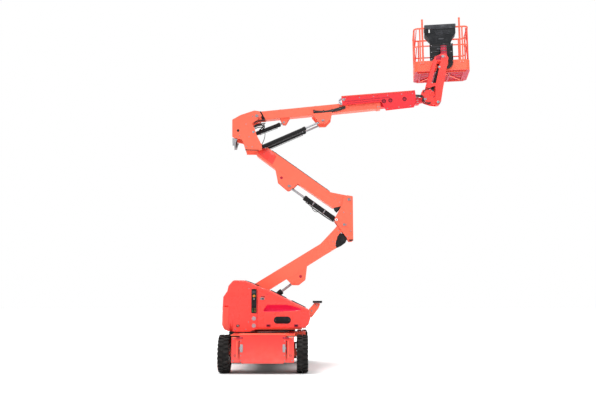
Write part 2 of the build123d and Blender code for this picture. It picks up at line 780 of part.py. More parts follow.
lug_tip = boom_side().to_local_coords(Vector(BOOM_EYE[0], 0, BOOM_EYE[1]))
level_tip = boom_side().to_local_coords(Vector(LEVEL_EYE[0], 0, LEVEL_EYE[1]))
lug_x, lug_y = lug_tip.X, lug_tip.Y
fan_points = [
    (lug_x - 215, -BOOM_HALF),
    (lug_x - 70, lug_y - 55),
    (lug_x + 75, lug_y - 65),
    (lug_x + 200, lug_y + 40),
    (lug_x + 230, -BOOM_HALF),
]
small_points = [
    (level_tip.X - 80, -BOOM_HALF),
    (level_tip.X - 30, level_tip.Y - 42),
    (level_tip.X + 40, level_tip.Y - 52),
    (level_tip.X + 145, -BOOM_HALF),
]
saddle_y = -BOOM_HALF - 6
lug_face = TWIN_EYE_HALF + TWIN_LUG_GAP
lug_near = TWIN_Y - lug_face - TWIN_LUG_T
lug_far = TWIN_Y + lug_face + TWIN_LUG_T
with BuildPart() as base_boom:
    with BuildSketch(boom_section(BOOM_REAR)):
        RectangleRounded(2 * BOOM_HALF, 2 * BOOM_HALF, 14)
        Rectangle(2 * (BOOM_HALF - BOOM_WALL), 2 * (BOOM_HALF - BOOM_WALL), mode=Mode.SUBTRACT)
    extrude(amount=BOOM_FRONT - BOOM_REAR)
    with BuildSketch(boom_section(BOOM_FRONT - 90)):
        RectangleRounded(2 * (BOOM_HALF + COLLAR_T), 2 * (BOOM_HALF + COLLAR_T), 18)
        Rectangle(2 * (FLY_HALF + SEAT_GAP), 2 * (FLY_HALF + SEAT_GAP), mode=Mode.SUBTRACT)
    extrude(amount=90)
    # slot in the lower plate where the levelling cylinder passes when the boom is up
    with BuildSketch(boom_section(BOOM_REAR - 1)):
        with Locations((0, -BOOM_HALF)):
            Rectangle(112, 60)
    extrude(amount=290, mode=Mode.SUBTRACT)
    add(bar(side(), PIVOT_E, 44, BOOM_HALF))
    add(slab(boom_side, fan_points, lug_near, lug_near + TWIN_LUG_T, 0))
    add(slab(boom_side, fan_points, lug_far - TWIN_LUG_T, lug_far, 0))
    with BuildSketch(boom_section(lug_x - 215)):
        with Locations((0, saddle_y)):
            Rectangle(2 * lug_far, 12)
    extrude(amount=445)
    add(slab(boom_side, small_points, 44, 56, 0))
    extrude(disc(side(), PIVOT_E, PIN_R + PIN_GAP), amount=BOOM_HALF + 20, both=True, mode=Mode.SUBTRACT)
    for inner, outer in ((lug_near, lug_near + 6), (lug_far - 6, lug_far + 6)):
        for sign in (-1, 1):
            extrude(disc(side(sign * inner), BOOM_EYE, CYL_PIN_R), amount=-sign * (outer - inner))
pieces["base_boom"] = base_boom

with BuildPart() as fly_boom:
    with BuildSketch(boom_section(FLY_REAR)):
        RectangleRounded(2 * FLY_HALF, 2 * FLY_HALF, 10)
        Rectangle(2 * (FLY_HALF - FLY_WALL), 2 * (FLY_HALF - FLY_WALL), mode=Mode.SUBTRACT)
    extrude(amount=FLY_FRONT - FLY_REAR)
    # rear wear pads that ride inside the base boom
    pad_reach = BOOM_HALF - BOOM_WALL - SEAT_GAP
    with BuildSketch(boom_section(FLY_REAR)):
        Rectangle(2 * pad_reach, 2 * 60)
        Rectangle(2 * 60, 2 * pad_reach)
        Rectangle(2 * (FLY_HALF - FLY_WALL), 2 * (FLY_HALF - FLY_WALL), mode=Mode.SUBTRACT)
    extrude(amount=120)
    # tongue to the jib knuckle
    tip_local = boom_plane.to_local_coords(Vector(TIP[0], 0, TIP[1]))
    tongue = [
        (FLY_FRONT - 60, -60),
        (tip_local.X + 20, tip_local.Y - 55),
        (tip_local.X + 62, tip_local.Y),
        (tip_local.X + 20, tip_local.Y + 55),
        (FLY_FRONT - 60, 60),
    ]
    extrude(outline(boom_side(), tongue, [0, 30, 30, 30, 0]), amount=44, both=True)
    with BuildSketch(boom_section(FLY_FRONT)):
        Rectangle(2 * FLY_HALF, 2 * FLY_HALF)
    extrude(amount=10)
    extrude(disc(side(), TIP, 25 + PIN_GAP), amount=60, both=True, mode=Mode.SUBTRACT)
pieces["fly_boom"] = fly_boom

# energy chain tray carried by the fly boom beside the base boom
CHAIN_IN = BOOM_HALF + COLLAR_T + 6    # inner face of the chain, clear of the boom's collar
TRAY_IN = CHAIN_IN + 32
tray_outer = [
    (1700, 250),
    (3370, 215),
    (3370, 60),
    (3300, -175),
    (2660, -185),
    (2580, 30),
    (1700, 40),
]
tray_lip = [(1700, 244), (3370, 209), (3370, 215), (1700, 250)]
tray_shelf = [(1700, 40), (2580, 30), (2580, 36), (1700, 46)]
with BuildPart() as hose_tray:
    extrude(outline(boom_side(-TRAY_IN), tray_outer, 12), amount=6)
    extrude(outline(boom_side(-TRAY_IN + 42), tray_lip), amount=60)
    extrude(outline(boom_side(-CHAIN_IN), tray_shelf), amount=TRAY_IN - CHAIN_IN)
    with BuildSketch(boom_side(-TRAY_IN)):
        with Locations((2640, 40), (2790, 40), (3110, 40)):
            Circle(38)
    extrude(amount=6, mode=Mode.SUBTRACT)
    with BuildSketch(boom_section(3345)):
        with Locations((-(FLY_HALF + TRAY_IN) / 2, 60)):
            Rectangle(TRAY_IN - FLY_HALF, 60)
    extrude(amount=20)
pieces["hose_tray"] = hose_tray

with BuildPart() as energy_chain:
    with BuildSketch(boom_side(-CHAIN_IN)):
        with Locations((1700, 130)):
            Circle(78)
            Circle(34, mode=Mode.SUBTRACT)
        with Locations((1640, 130)):
            Rectangle(120, 260, mode=Mode.INTERSECT)
        with Locations((2500, 186)):
            Rectangle(1600, 44)
        with Locations((1800, 74)):
            Rectangle(200, 44)
    extrude(amount=TRAY_IN - SEAT_GAP - CHAIN_IN)
pieces["energy_chain"] = energy_chain

boom_barrels_near, boom_rod_near = cylinder_pair(
    PIVOT_D, BOOM_EYE, 42, 22, 1130, 170, TWIN_EYE_HALF, -TWIN_Y, 50, 34, PIN_R)
boom_barrels_far, boom_rod_far = cylinder_pair(
    PIVOT_D, BOOM_EYE, 42, 22, 1130, 170, TWIN_EYE_HALF, TWIN_Y, 50, 34, PIN_R)
with BuildPart() as boom_barrels:
    add(boom_barrels_near.part)
    add(boom_barrels_far.part)
pieces["boom_barrels"] = boom_barrels
with BuildPart() as boom_rods:
    add(boom_rod_near.part)
    add(boom_rod_far.part)
pieces["boom_rods"] = boom_rods

level_barrel, level_rod = cylinder_pair(LEVEL_BASE, LEVEL_EYE, 44, 18, 635, 130, 36, 0, 38, 26)
pieces["level_barrel"] = level_barrel
pieces["level_rod"] = level_rod

# ================================================================ jib
jib_knuckle_points = [
    (3500, 6080),
    (3525, 6148),
    (3770, 6148),
    (3800, 6000),
    (3915, 5900),
    (3905, 5805),
    (3820, 5792),
    (3700, 5805),
    (3570, 5850),
    (3490, 5890),
]
with BuildPart() as jib_knuckle:
    add(slab(side, jib_knuckle_points, 52, 68, 25))
    add(bar(side(), TIP, 25, 74))
    add(bar(side(), JIB_PIVOT, 55, 68))
    extrude(disc(side(), JIB_PIVOT, PIN_R + PIN_GAP), amount=80, both=True, mode=Mode.SUBTRACT)
    for sign in (-1, 1):
        extrude(disc(side(sign * 68), JIB_EYE, 22), amount=-sign * 5)
pieces["jib_knuckle"] = jib_knuckle

jib_points = [
    (3925, 5850),
    (3985, 6190),
    (4130, 6900),
    (4070, 7000),
    (3960, 6990),
    (3815, 6920),
    (3600, 6205),
    (3660, 6185),
    (3815, 6240),
    (3795, 5850),
    (3857, 5785),
]
jib_opening = [
    (3715, 6300),
    (3825, 6300),
    (3950, 6820),
    (3865, 6820),
]
JIB_IN = 76
JIB_T = 14
with BuildPart() as jib_arm:
    add(slab(side, jib_points, JIB_IN, JIB_IN + JIB_T, [20, 60, 40, 30, 30, 30, 25, 15, 15, 20, 40]))
    extrude(outline(side(), jib_opening, 12), amount=JIB_IN + JIB_T + 1, both=True, mode=Mode.SUBTRACT)
    add(bar(side(), JIB_PIVOT, PIN_R, JIB_IN + JIB_T + 4))
    add(bar(side(), JIB_TOP, PIN_R, JIB_IN + JIB_T + 4))
    add(bar(side(), JIB_BASE, CYL_PIN_R, JIB_IN + JIB_T + 4))
    add(bar(side(), (3955, 6350), 18, JIB_IN + 1))
    add(bar(side(), (3690, 6420), 18, JIB_IN + 1))
pieces["jib_arm"] = jib_arm

jib_barrel, jib_rod = cylinder_pair(JIB_BASE, JIB_EYE, 34, 16, 560, 85, 26, 0, 36, 26)
pieces["jib_barrel"] = jib_barrel
pieces["jib_rod"] = jib_rod

# ================================================================ platform support and rotator
support_points = [
    (3955, 6890),
    (4045, 6890),
    (4105, 6960),
    (4105, 7060),
    (3985, 7060),
    (3955, 6980),
]
with BuildPart() as platform_support:
    extrude(outline(side(), support_points, 20), amount=66, both=True)
    with BuildSketch(Plane.XY.offset(7060)):
        with Locations((ROTATE_X, 0)):
            Circle(70)
    extrude(amount=150)
    extrude(disc(side(), JIB_TOP, PIN_R + PIN_GAP), amount=80, both=True, mode=Mode.SUBTRACT)
pieces["platform_support"] = platform_support

cage_far = CAGE_NEAR + CAGE_DEPTH
plate_y = CAGE_NEAR - TUBE_R - SEAT_GAP - 6
with BuildPart() as platform_bracket:
    with BuildSketch(Plane.XY.offset(7060 + 150 + SEAT_GAP)):
        with Locations((ROTATE_X, 0)):
            Circle(70)
        with Locations((ROTATE_X, plate_y / 2)):
            Rectangle(100, plate_y)
    extrude(amount=24)
    with Locations((ROTATE_X - 40, plate_y, 7130)):
        Box(530, 12, 390)
    with Locations((ROTATE_X - 40, plate_y, 6870)):
        Box(210, 12, 140)
pieces["platform_bracket"] = platform_bracket

# platform cage: a rounded rail at each height, and posts
CORNER_R = 90
cage_left = CAGE_MID - CAGE_HALF
cage_right = CAGE_MID + CAGE_HALF
post_near = CAGE_NEAR + CORNER_R + 40
post_far = cage_far - CORNER_R - 40


def cage_rail(level, tube_r, gate_gap):
    """The rail around the platform at a height; with gate_gap it stops at the posts of the gate."""
    corner_table = [
        (cage_right - CORNER_R, CAGE_NEAR + CORNER_R, -90),
        (cage_right - CORNER_R, cage_far - CORNER_R, 0),
        (cage_left + CORNER_R, cage_far - CORNER_R, 90),
        (cage_left + CORNER_R, CAGE_NEAR + CORNER_R, 180),
    ]
    side_runs = [(cage_left, CAGE_NEAR + CORNER_R, cage_far - CORNER_R)]
    if gate_gap:
        side_runs.append((cage_right, CAGE_NEAR + CORNER_R, post_near))
        side_runs.append((cage_right, post_far, cage_far - CORNER_R))
    else:
        side_runs.append((cage_right, CAGE_NEAR + CORNER_R, cage_far - CORNER_R))
    with BuildPart() as rail:
        for x, y, start in corner_table:
            turn = math.radians(start)
            out = (math.cos(turn), math.sin(turn), 0)
            with BuildSketch(Plane(origin=(x, y, level), x_dir=out, z_dir=(out[1], -out[0], 0))):
                with Locations((CORNER_R, 0)):
                    Circle(tube_r)
            revolve(axis=Axis((x, y, level), (0, 0, 1)), revolution_arc=90)
        for y in (CAGE_NEAR, cage_far):
            with BuildSketch(Plane.YZ.offset(cage_left + CORNER_R)):
                with Locations((y, level)):
                    Circle(tube_r)
            extrude(amount=2 * (CAGE_HALF - CORNER_R))
        for x, y_from, y_to in side_runs:
            with BuildSketch(Plane.XZ.offset(-y_to)):
                with Locations((x, level)):
                    Circle(tube_r)
            extrude(amount=y_to - y_from)
    return rail.part


# posts: (x, y, top, radius)
post_table = [
    (cage_left + CORNER_R + 40, CAGE_NEAR, TOP_RAIL, POST_R),
    (cage_right - CORNER_R - 40, CAGE_NEAR, TOP_RAIL, POST_R),
    (cage_left + CORNER_R + 40, cage_far, TOP_RAIL, POST_R),
    (cage_right - CORNER_R - 40, cage_far, TOP_RAIL, POST_R),
    (cage_left, post_near, TOP_RAIL, POST_R),
    (cage_left, post_far, TOP_RAIL, POST_R),
    (cage_right, post_near, TOP_RAIL, POST_R),
    (cage_right, post_far, TOP_RAIL, POST_R),
    (CAGE_MID - 425, CAGE_NEAR, POST_TOP, TALL_POST_R),
    (CAGE_MID + 425, CAGE_NEAR, POST_TOP, TALL_POST_R),
]
with BuildPart() as platform_cage:
    add(cage_rail(MID_RAIL, MID_R, True))
    add(cage_rail(TOP_RAIL, TUBE_R, False))
    for x, y, top, post_r in post_table:
        with BuildSketch(Plane.XY.offset(KICK_TOP)):
            with Locations((x, y)):
                Circle(post_r)
        extrude(amount=top - KICK_TOP)
pieces["platform_cage"] = platform_cage

# swing gate at the +X end: two stiles, three rails and two bushes that turn on the far post
GATE_LOW = 7000
GATE_HIGH = 7690
BUSH_R = 27
BUSH_H = 60
stile_near = post_near + 44
stile_far = post_far - 52
with BuildPart() as platform_gate:
    for level in (GATE_LOW, MID_RAIL, GATE_HIGH - 60):
        with BuildSketch(Plane.XZ.offset(-stile_far)):
            with Locations((cage_right, level)):
                Circle(12)
        extrude(amount=stile_far - stile_near)
    for y in (stile_near, stile_far):
        with BuildSketch(Plane.XY.offset(GATE_LOW - 20)):
            with Locations((cage_right, y)):
                Circle(14)
        extrude(amount=GATE_HIGH - GATE_LOW)
    for level in (GATE_LOW + 60, GATE_HIGH - 200):
        with BuildSketch(Plane.XY.offset(level)):
            with Locations((cage_right, post_far)):
                Circle(BUSH_R)
            with Locations((cage_right, (post_far + stile_far) / 2)):
                Rectangle(20, post_far - stile_far)
            with Locations((cage_right, post_far)):
                Circle(POST_R + PIN_GAP, mode=Mode.SUBTRACT)
        extrude(amount=BUSH_H)
pieces["platform_gate"] = platform_gate

cage_middle_y = (CAGE_NEAR + cage_far) / 2
with BuildPart() as platform_floor:
    with BuildSketch(Plane.XY.offset(FLOOR_Z + BEARER_H)):
        with Locations((CAGE_MID, cage_middle_y)):
            RectangleRounded(2 * CAGE_HALF + 2 * TUBE_R, CAGE_DEPTH + 2 * TUBE_R, CORNER_R)
    extrude(amount=KICK_TOP - FLOOR_Z - BEARER_H)
    with BuildSketch(Plane.XY.offset(FLOOR_Z + BEARER_H + FLOOR_T)):
        with Locations((CAGE_MID, cage_middle_y)):
            RectangleRounded(2 * CAGE_HALF + 2 * TUBE_R - 8, CAGE_DEPTH + 2 * TUBE_R - 8, CORNER_R - 4)
    extrude(amount=KICK_TOP - FLOOR_Z, mode=Mode.SUBTRACT)
    # bearers under the floor
    for y in (CAGE_NEAR + 60, cage_far - 60):
        with Locations((CAGE_MID, y, FLOOR_Z + BEARER_H / 2)):
            Box(2 * CAGE_HALF - 120, 40, BEARER_H)
    for x in (-500, -170, 170, 500):
        with Locations((CAGE_MID + x, cage_middle_y, FLOOR_Z + BEARER_H / 2)):
            Box(40, CAGE_DEPTH - 120, BEARER_H)
pieces["platform_floor"] = platform_floor

# the console hangs on the top rail, which passes through it
CONSOLE_W = 720
CONSOLE_IN = 225          # depth inside the rail
CONSOLE_OUT = 60          # depth outside it
with BuildPart() as platform_console:
    with Locations((CAGE_MID - 20, CAGE_NEAR + (CONSOLE_IN - CONSOLE_OUT) / 2, 7640)):
        Box(CONSOLE_W, CONSOLE_IN + CONSOLE_OUT, 330)
    with Locations((CAGE_MID - 20, CAGE_NEAR, TOP_RAIL)):
        Box(CONSOLE_W + 2, 2 * (TUBE_R + SEAT_GAP), 2 * (TUBE_R + SEAT_GAP), mode=Mode.SUBTRACT)
pieces["platform_console"] = platform_console

# everything that the rotator carries is turned with it
rotator = Axis((ROTATE_X, 0, 0), (0, 0, 1))
for name in ("bracket", "cage", "gate", "floor", "console"):
    piece = pieces["platform_" + name]
    piece.part = piece.part.rotate(rotator, PLATFORM_TURN)

# ================================================================ placing and writing
boxes = [piece.part.bounding_box() for piece in pieces.values()]
middle_x = (min(box.min.X for box in boxes) + max(box.max.X for box in boxes)) / 2
middle_y = (min(box.min.Y for box in boxes) + max(box.max.Y for box in boxes)) / 2
to_middle = Location((-middle_x, -middle_y, 0))

os.makedirs("parts", exist_ok=True)
for name, piece in pieces.items():
    piece.part = piece.part.moved(to_middle)
    piece.part.label = name
    export_step(piece.part, "parts/" + name + ".step")
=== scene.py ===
"""Looks of the articulating boom lift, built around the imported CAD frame.

Places and sizes are in millimetres with +Z up, and X is counted from the slewing axis.  TO_ROW brings a
finished piece into the row frame, which is in metres.
"""
import json
from math import atan2, copysign, cos, exp, pi, radians, sin

import bmesh
import bpy
from mathutils import Matrix, Vector


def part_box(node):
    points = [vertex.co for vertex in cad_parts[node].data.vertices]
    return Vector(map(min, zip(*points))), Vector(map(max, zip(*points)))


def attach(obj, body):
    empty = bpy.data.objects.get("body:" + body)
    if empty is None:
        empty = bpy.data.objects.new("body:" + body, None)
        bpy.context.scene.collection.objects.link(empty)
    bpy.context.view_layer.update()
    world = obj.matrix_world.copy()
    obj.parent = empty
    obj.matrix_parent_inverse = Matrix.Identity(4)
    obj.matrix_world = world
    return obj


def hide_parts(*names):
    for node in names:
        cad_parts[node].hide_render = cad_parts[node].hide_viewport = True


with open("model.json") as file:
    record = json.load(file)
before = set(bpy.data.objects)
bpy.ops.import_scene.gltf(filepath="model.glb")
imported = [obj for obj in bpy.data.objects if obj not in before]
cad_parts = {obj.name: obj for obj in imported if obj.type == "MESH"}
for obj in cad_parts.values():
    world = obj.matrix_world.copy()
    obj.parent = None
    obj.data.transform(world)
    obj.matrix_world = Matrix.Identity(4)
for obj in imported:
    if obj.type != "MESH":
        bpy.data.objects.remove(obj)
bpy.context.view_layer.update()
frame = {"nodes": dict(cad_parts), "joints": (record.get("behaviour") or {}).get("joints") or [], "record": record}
nodes = frame["nodes"]

ring_low, ring_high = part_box("slew_ring")
SLEW_X = (ring_low.x + ring_high.x) / 2
TO_ROW = Matrix.Translation((SLEW_X, 0, 0)) @ Matrix.Scale(0.001, 4)
FROM_ROW = Matrix.Scale(1000, 4) @ Matrix.Translation((-SLEW_X, 0, 0))
SMOOTH_ANGLE = radians(34)
SIDES = (-1, 1)
HANDS = (("near", -1), ("far", 1))
Y_AXIS = Vector((0, 1, 0))
UP = (0, 0, 1)
NEAR = (0, -1, 0)


def extent(name):
    """(lowest corner, highest corner) of a CAD node."""
    low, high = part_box(name)
    return FROM_ROW @ low, FROM_ROW @ high


# ---------------------------------------------------------------- materials
def shader_node(tree, kind, inputs=(), **settings):
    """A shader node with its settings and inputs; an input is a value, or a socket to link."""
    made = tree.nodes.new("ShaderNode" + kind)
    for name, value in settings.items():
        setattr(made, name, value)
    for name, value in dict(inputs).items():
        if isinstance(value, bpy.types.NodeSocket):
            tree.links.new(value, made.inputs[name])
        else:
            made.inputs[name].default_value = value
    return made


def new_material(name, roughness=0.5, metallic=0.0, coat=0.0, specular=0.5):
    """A material with one Principled shader; returns it with its tree and shader."""
    material = bpy.data.materials.new(name)
    material.use_nodes = True
    tree = material.node_tree
    shader = tree.nodes["Principled BSDF"]
    for socket, value in (("Roughness", roughness), ("Metallic", metallic), ("Coat Weight", coat),
                          ("Coat Roughness", 0.12), ("Specular IOR Level", specular)):
        shader.inputs[socket].default_value = value
    return material, tree, shader


def noise(tree, scale, detail=4.0, stretch=(1, 1, 1), distortion=0.0):
    """A noise texture in the object's own coordinates, stretched along its axes."""
    place = shader_node(tree, "TexCoord").outputs["Object"]
    mapping = shader_node(tree, "Mapping", {"Vector": place, "Scale": stretch})
    texture = shader_node(tree, "TexNoise", {"Vector": mapping.outputs["Vector"], "Scale": scale,
                                             "Detail": detail, "Distortion": distortion})
    return texture.outputs["Fac"]


def stepped(tree, value, low, high):
    """A value turned to black below low and white above high."""
    made = shader_node(tree, "ValToRGB", {"Fac": value})
    for element, position in zip(made.color_ramp.elements, (low, high)):
        element.position = position
    return made.outputs["Color"]


def mixed(tree, share, first, second):
    """Two colours mixed by a share; each may be a socket or a colour."""
    first, second = (value if isinstance(value, bpy.types.NodeSocket) else (*value, 1)
                     for value in (first, second))
    return shader_node(tree, "Mix", {0: share, 6: first, 7: second}, data_type="RGBA").outputs[2]


def to_range(tree, value, low, high):
    """A 0 to 1 value brought between low and high."""
    return shader_node(tree, "MapRange", {"Value": value, "To Min": low, "To Max": high}).outputs["Result"]


def calculated(tree, operation, first, second):
    """The result of a Math node."""
    return shader_node(tree, "Math", {0: first, 1: second}, operation=operation).outputs["Value"]


def height_of(tree, vector):
    """The Z of a vector socket."""
    return shader_node(tree, "SeparateXYZ", {"Vector": vector}).outputs["Z"]


def bumped(tree, shader, height, strength, distance):
    """Drives the shader's normal from a height."""
    bump = shader_node(tree, "Bump", {"Height": height, "Strength": strength, "Distance": distance})
    tree.links.new(bump.outputs["Normal"], shader.inputs["Normal"])


def ground_dust(tree, low, high):
    """1 near the ground fading to 0 at a height in metres, broken up by noise."""
    height = height_of(tree, shader_node(tree, "TexCoord").outputs["Object"])
    fade = shader_node(tree, "MapRange", {"Value": height, "From Min": low, "From Max": high, "To Min": 1,
                                          "To Max": 0}, interpolation_type="SMOOTHSTEP")
    return calculated(tree, "MULTIPLY", fade.outputs["Result"], noise(tree, 9, 6))


def painted(name, colour, deep, roughness=0.34, coat=0.35, peel=0.05, cast=0.0, specular=0.5, underside=None):
    """Sprayed paint: slow colour variation, small scuffs, dust low down, and orange peel or a cast grain; an
    underside colour, if given, goes on faces that look down.
    """
    material, tree, shader = new_material(name, roughness, 0.0, coat, specular)
    cloudy = mixed(tree, noise(tree, 1.6, 3), colour, deep)
    scuff = stepped(tree, noise(tree, 34, 9, (1, 1, 0.25), 0.6), 0.70, 0.78)
    scuffed = mixed(tree, scuff, cloudy, tuple(0.72 * part + 0.03 for part in colour))
    # faces that look down take the underside colour: painted shade on the platform floor, black on the chassis
    # parts
    if underside:
        normal = shader_node(tree, "NewGeometry").outputs["True Normal"]
        facing_down = calculated(tree, "LESS_THAN", height_of(tree, normal), -0.5)
        scuffed = mixed(tree, facing_down, scuffed, underside)
    dust = to_range(tree, ground_dust(tree, 0.1, 0.75), 0.0, 0.35)
    tree.links.new(mixed(tree, dust, scuffed, (0.42, 0.35, 0.29)), shader.inputs["Base Color"])
    tree.links.new(to_range(tree, noise(tree, 6, 5), roughness - 0.07, roughness + 0.12),
                   shader.inputs["Roughness"])
    if cast:
        bumped(tree, shader, noise(tree, 120, 5), cast, 0.002)
    else:
        bumped(tree, shader, noise(tree, 260, 2), peel, 0.0006)
    return material


def metal(name, colour, roughness, grain=(1, 1, 1), scale=60, metallic=1.0):
    """Bare metal with a grain along one of its axes and a slightly uneven polish."""
    material, tree, shader = new_material(name, roughness, metallic)
    darker = tuple(0.78 * part for part in colour)
    tree.links.new(mixed(tree, noise(tree, scale, 4, grain), colour, darker), shader.inputs["Base Color"])
    tree.links.new(to_range(tree, noise(tree, scale * 2, 3, grain), roughness * 0.7, roughness * 1.4),
                   shader.inputs["Roughness"])
    bumped(tree, shader, noise(tree, scale * 3, 2, grain), 0.06, 0.0004)
    return material


def moulded(name, colour, roughness=0.55, grain_scale=420, grain=0.25, dust=0.0, specular=0.35):
    """Moulded plastic or rubber: fine leather grain, pale rub marks and a little dust."""
    material, tree, shader = new_material(name, roughness, 0.0, 0.0, specular)
    lighter = tuple(min(1.0, 1.7 * part + 0.012) for part in colour)
    rubbed = mixed(tree, stepped(tree, noise(tree, 7, 8), 0.48, 0.72), colour, lighter)
    if dust:
        rubbed = mixed(tree, to_range(tree, noise(tree, 14, 7), 0.0, dust), rubbed, (0.30, 0.26, 0.22))
    tree.links.new(rubbed, shader.inputs["Base Color"])
    tree.links.new(to_range(tree, noise(tree, 20, 5), roughness - 0.08, roughness + 0.12),
                   shader.inputs["Roughness"])
    bumped(tree, shader, noise(tree, grain_scale, 3), grain, 0.0007)
    return material


BODY_ORANGE = ((0.96, 0.150, 0.075), (0.92, 0.115, 0.060), 0.40, 0.08)
orange = painted("orange_paint", (0.96, 0.175, 0.100), (0.92, 0.130, 0.078), 0.40, 0.08, specular=0.3)
# A redder copy of the orange for the jib, its knuckle and the end plates: painted shade.
shaded_orange = painted("shaded_orange", (0.94, 0.078, 0.046), (0.82, 0.030, 0.044), 0.40, 0.05, specular=0.25)
# A deep crimson copy of the orange for the fly boom, hose tray and the platform's ribs and braces: painted shade.
boom_shaded_red = painted("boom_shaded_red", (0.80, 0.026, 0.034), (0.70, 0.016, 0.030), 0.42, 0.08, specular=0.3)
# On the platform floor, faces that look down turn deep crimson: painted shade.
floor_paint = painted("floor_paint", *BODY_ORANGE, specular=0.3, underside=(0.50, 0.010, 0.045))
frame_paint = painted("frame_paint", *BODY_ORANGE, specular=0.3, underside=(0.012, 0.011, 0.011))
hood_orange = painted("hood_gelcoat", (0.96, 0.064, 0.044), (0.92, 0.046, 0.038), 0.26, 0.30, 0.03,
                      specular=0.35)
# The deep part of the hood pockets in a darker crimson: painted shade in the recess.
pocket_shade_red = painted("pocket_painted_shade", (0.80, 0.004, 0.062), (0.74, 0.003, 0.052), 0.42, 0.0, 0.03,
                     specular=0.2)
cast_orange = painted("cast_orange", (0.88, 0.085, 0.050), (0.80, 0.06, 0.045), 0.44, 0.15, 0.1, 0.35)
shade_red = painted("shadowed_red", (0.46, 0.010, 0.040), (0.38, 0.008, 0.034), 0.45, 0.05, specular=0.3)
black_paint = painted("black_paint", (0.007, 0.007, 0.008), (0.013, 0.013, 0.014), 0.40, 0.0, specular=0.15)
grey_paint = painted("grey_paint", (0.36, 0.36, 0.38), (0.30, 0.30, 0.32), 0.42, 0.1)
rim_paint = painted("rim_paint", (0.72, 0.72, 0.70), (0.62, 0.62, 0.60), 0.40, 0.15)
chrome = metal("rod_chrome", (0.36, 0.37, 0.39), 0.42, scale=20, metallic=0.55)
zinc = metal("zinc_fasteners", (0.34, 0.33, 0.35), 0.42, scale=120, metallic=0.8)
ring_steel = metal("ring_steel", (0.40, 0.40, 0.42), 0.36, (1, 1, 12), 24)
dark_steel = metal("dark_steel", (0.12, 0.12, 0.125), 0.42, scale=80, metallic=0.8)
tyre_rubber = moulded("tyre_rubber", (0.008, 0.008, 0.009), 0.80, 300, 0.45, 0.09, 0.1)
black_rubber = moulded("black_rubber", (0.009, 0.009, 0.010), 0.66, 500, 0.3, 0.03, 0.15)
hose_rubber = moulded("hose_rubber", (0.012, 0.012, 0.013), 0.48, 900, 0.35)
black_plastic = moulded("black_plastic", (0.009, 0.010, 0.012), 0.46, specular=0.15)
case_plastic = moulded("case_plastic", (0.042, 0.044, 0.052), 0.5)
grey_plastic = moulded("grey_plastic", (0.46, 0.45, 0.50), 0.5)
white_plastic = moulded("white_plastic", (0.80, 0.80, 0.78), 0.4)
red_plastic = moulded("red_plastic", (0.70, 0.010, 0.012), 0.3)
green_lamp = moulded("green_lamp", (0.06, 0.55, 0.12), 0.3)
yellow_plastic = moulded("yellow_plastic", (0.80, 0.55, 0.03), 0.35)

SLOT_LOOKS = {
    "orange_paint": orange,
    "black_paint": black_paint,
    "hood_plastic": hood_orange,
    "tyre_rubber": tyre_rubber,
    "black_rubber": black_rubber,
    "black_plastic": black_plastic,
    "rod_chrome": chrome,
    "iron_orange": cast_orange,
    "rim_paint": rim_paint,
    "ring_steel": ring_steel,
    "case_plastic": case_plastic,
}
# Painted shade: the fly boom, tray, jib and end plates take darker red copies of the orange, the platform support
# the shadowed red, and the floor crimson undersides; the chassis parts turn black on faces that look down.
NODE_LOOKS = {
    "fly_boom": boom_shaded_red,
    "hose_tray": boom_shaded_red,
    "jib_knuckle": shaded_orange,
    "jib_arm": shaded_orange,
    "platform_support": shade_red,
    "platform_floor": floor_paint,
    "end_plates": shaded_orange,
    "drive_axle": frame_paint,
    "chassis_frame": frame_paint,
    "deck": frame_paint,
    "side_step": frame_paint,
}
NODE_SLOTS = {part["node"]: part["material_slot"] for part in frame["record"]["subparts"]}


def dress_frame():
    """Gives every CAD node the look of its material slot, with a few given other paints: darker red copies of the
    orange that are painted shade, and paints that change on faces that look down.
    """
    for name, piece in nodes.items():
        look = NODE_LOOKS.get(name, SLOT_LOOKS[NODE_SLOTS[name]])
        if not piece.material_slots:
            piece.data.materials.append(look)
        for slot in piece.material_slots:
            slot.material = look


# ---------------------------------------------------------------- shapes
# In a piece's list of materials the fasteners' zinc is the second, which bolts and pins take by default.
def finish_mesh(name, mesh_edit, materials, body):
    """Writes the mesh as an object in the row frame, smooth below an angle, riding on a body."""
    mesh_edit.transform(TO_ROW)
    bmesh.ops.recalc_face_normals(mesh_edit, faces=mesh_edit.faces)
    mesh = bpy.data.meshes.new(name)
    mesh_edit.to_mesh(mesh)
    mesh_edit.free()
    for material in materials:
        mesh.materials.append(material)
    piece = bpy.data.objects.new(name, mesh)
    bpy.context.scene.collection.objects.link(piece)
    mesh.shade_smooth()
    mesh.set_sharp_from_angle(angle=SMOOTH_ANGLE)
    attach(piece, body)
    return piece


def paint_new(mesh_edit, before, index):
    """Gives faces made since the set `before` one material index."""
    for face in mesh_edit.faces:
        if face not in before:
            face.material_index = index


def round_edges(mesh_edit, corners, radius, segments=2):
    """Rounds every edge that meets these corners."""
    edges = list({edge for corner in corners for edge in corner.link_edges})
    bmesh.ops.bevel(mesh_edit, geom=edges, offset=radius, segments=segments, affect="EDGES", profile=0.5,
                    clamp_overlap=True)


def box(mesh_edit, centre, size, bevel=3, index=0, turn=None, segments=2):
    """A box with rounded edges; turn is an optional 3 x 3 rotation."""
    before = set(mesh_edit.faces)
    corners = bmesh.ops.create_cube(mesh_edit, size=1)["verts"]
    bmesh.ops.scale(mesh_edit, vec=size, verts=corners)
    round_edges(mesh_edit, corners, bevel, segments)
    corners = list({corner for face in mesh_edit.faces if face not in before for corner in face.verts})
    if turn:
        bmesh.ops.rotate(mesh_edit, cent=(0, 0, 0), matrix=turn, verts=corners)
    bmesh.ops.translate(mesh_edit, vec=centre, verts=corners)
    paint_new(mesh_edit, before, index)


def circle(count, radius, start=0.0):
    """(cosine, sine) pairs evenly round a circle; start is a share of one step."""
    angles = [2 * pi * (step + start) / count for step in range(count)]
    return [(radius * cos(angle), radius * sin(angle)) for angle in angles]


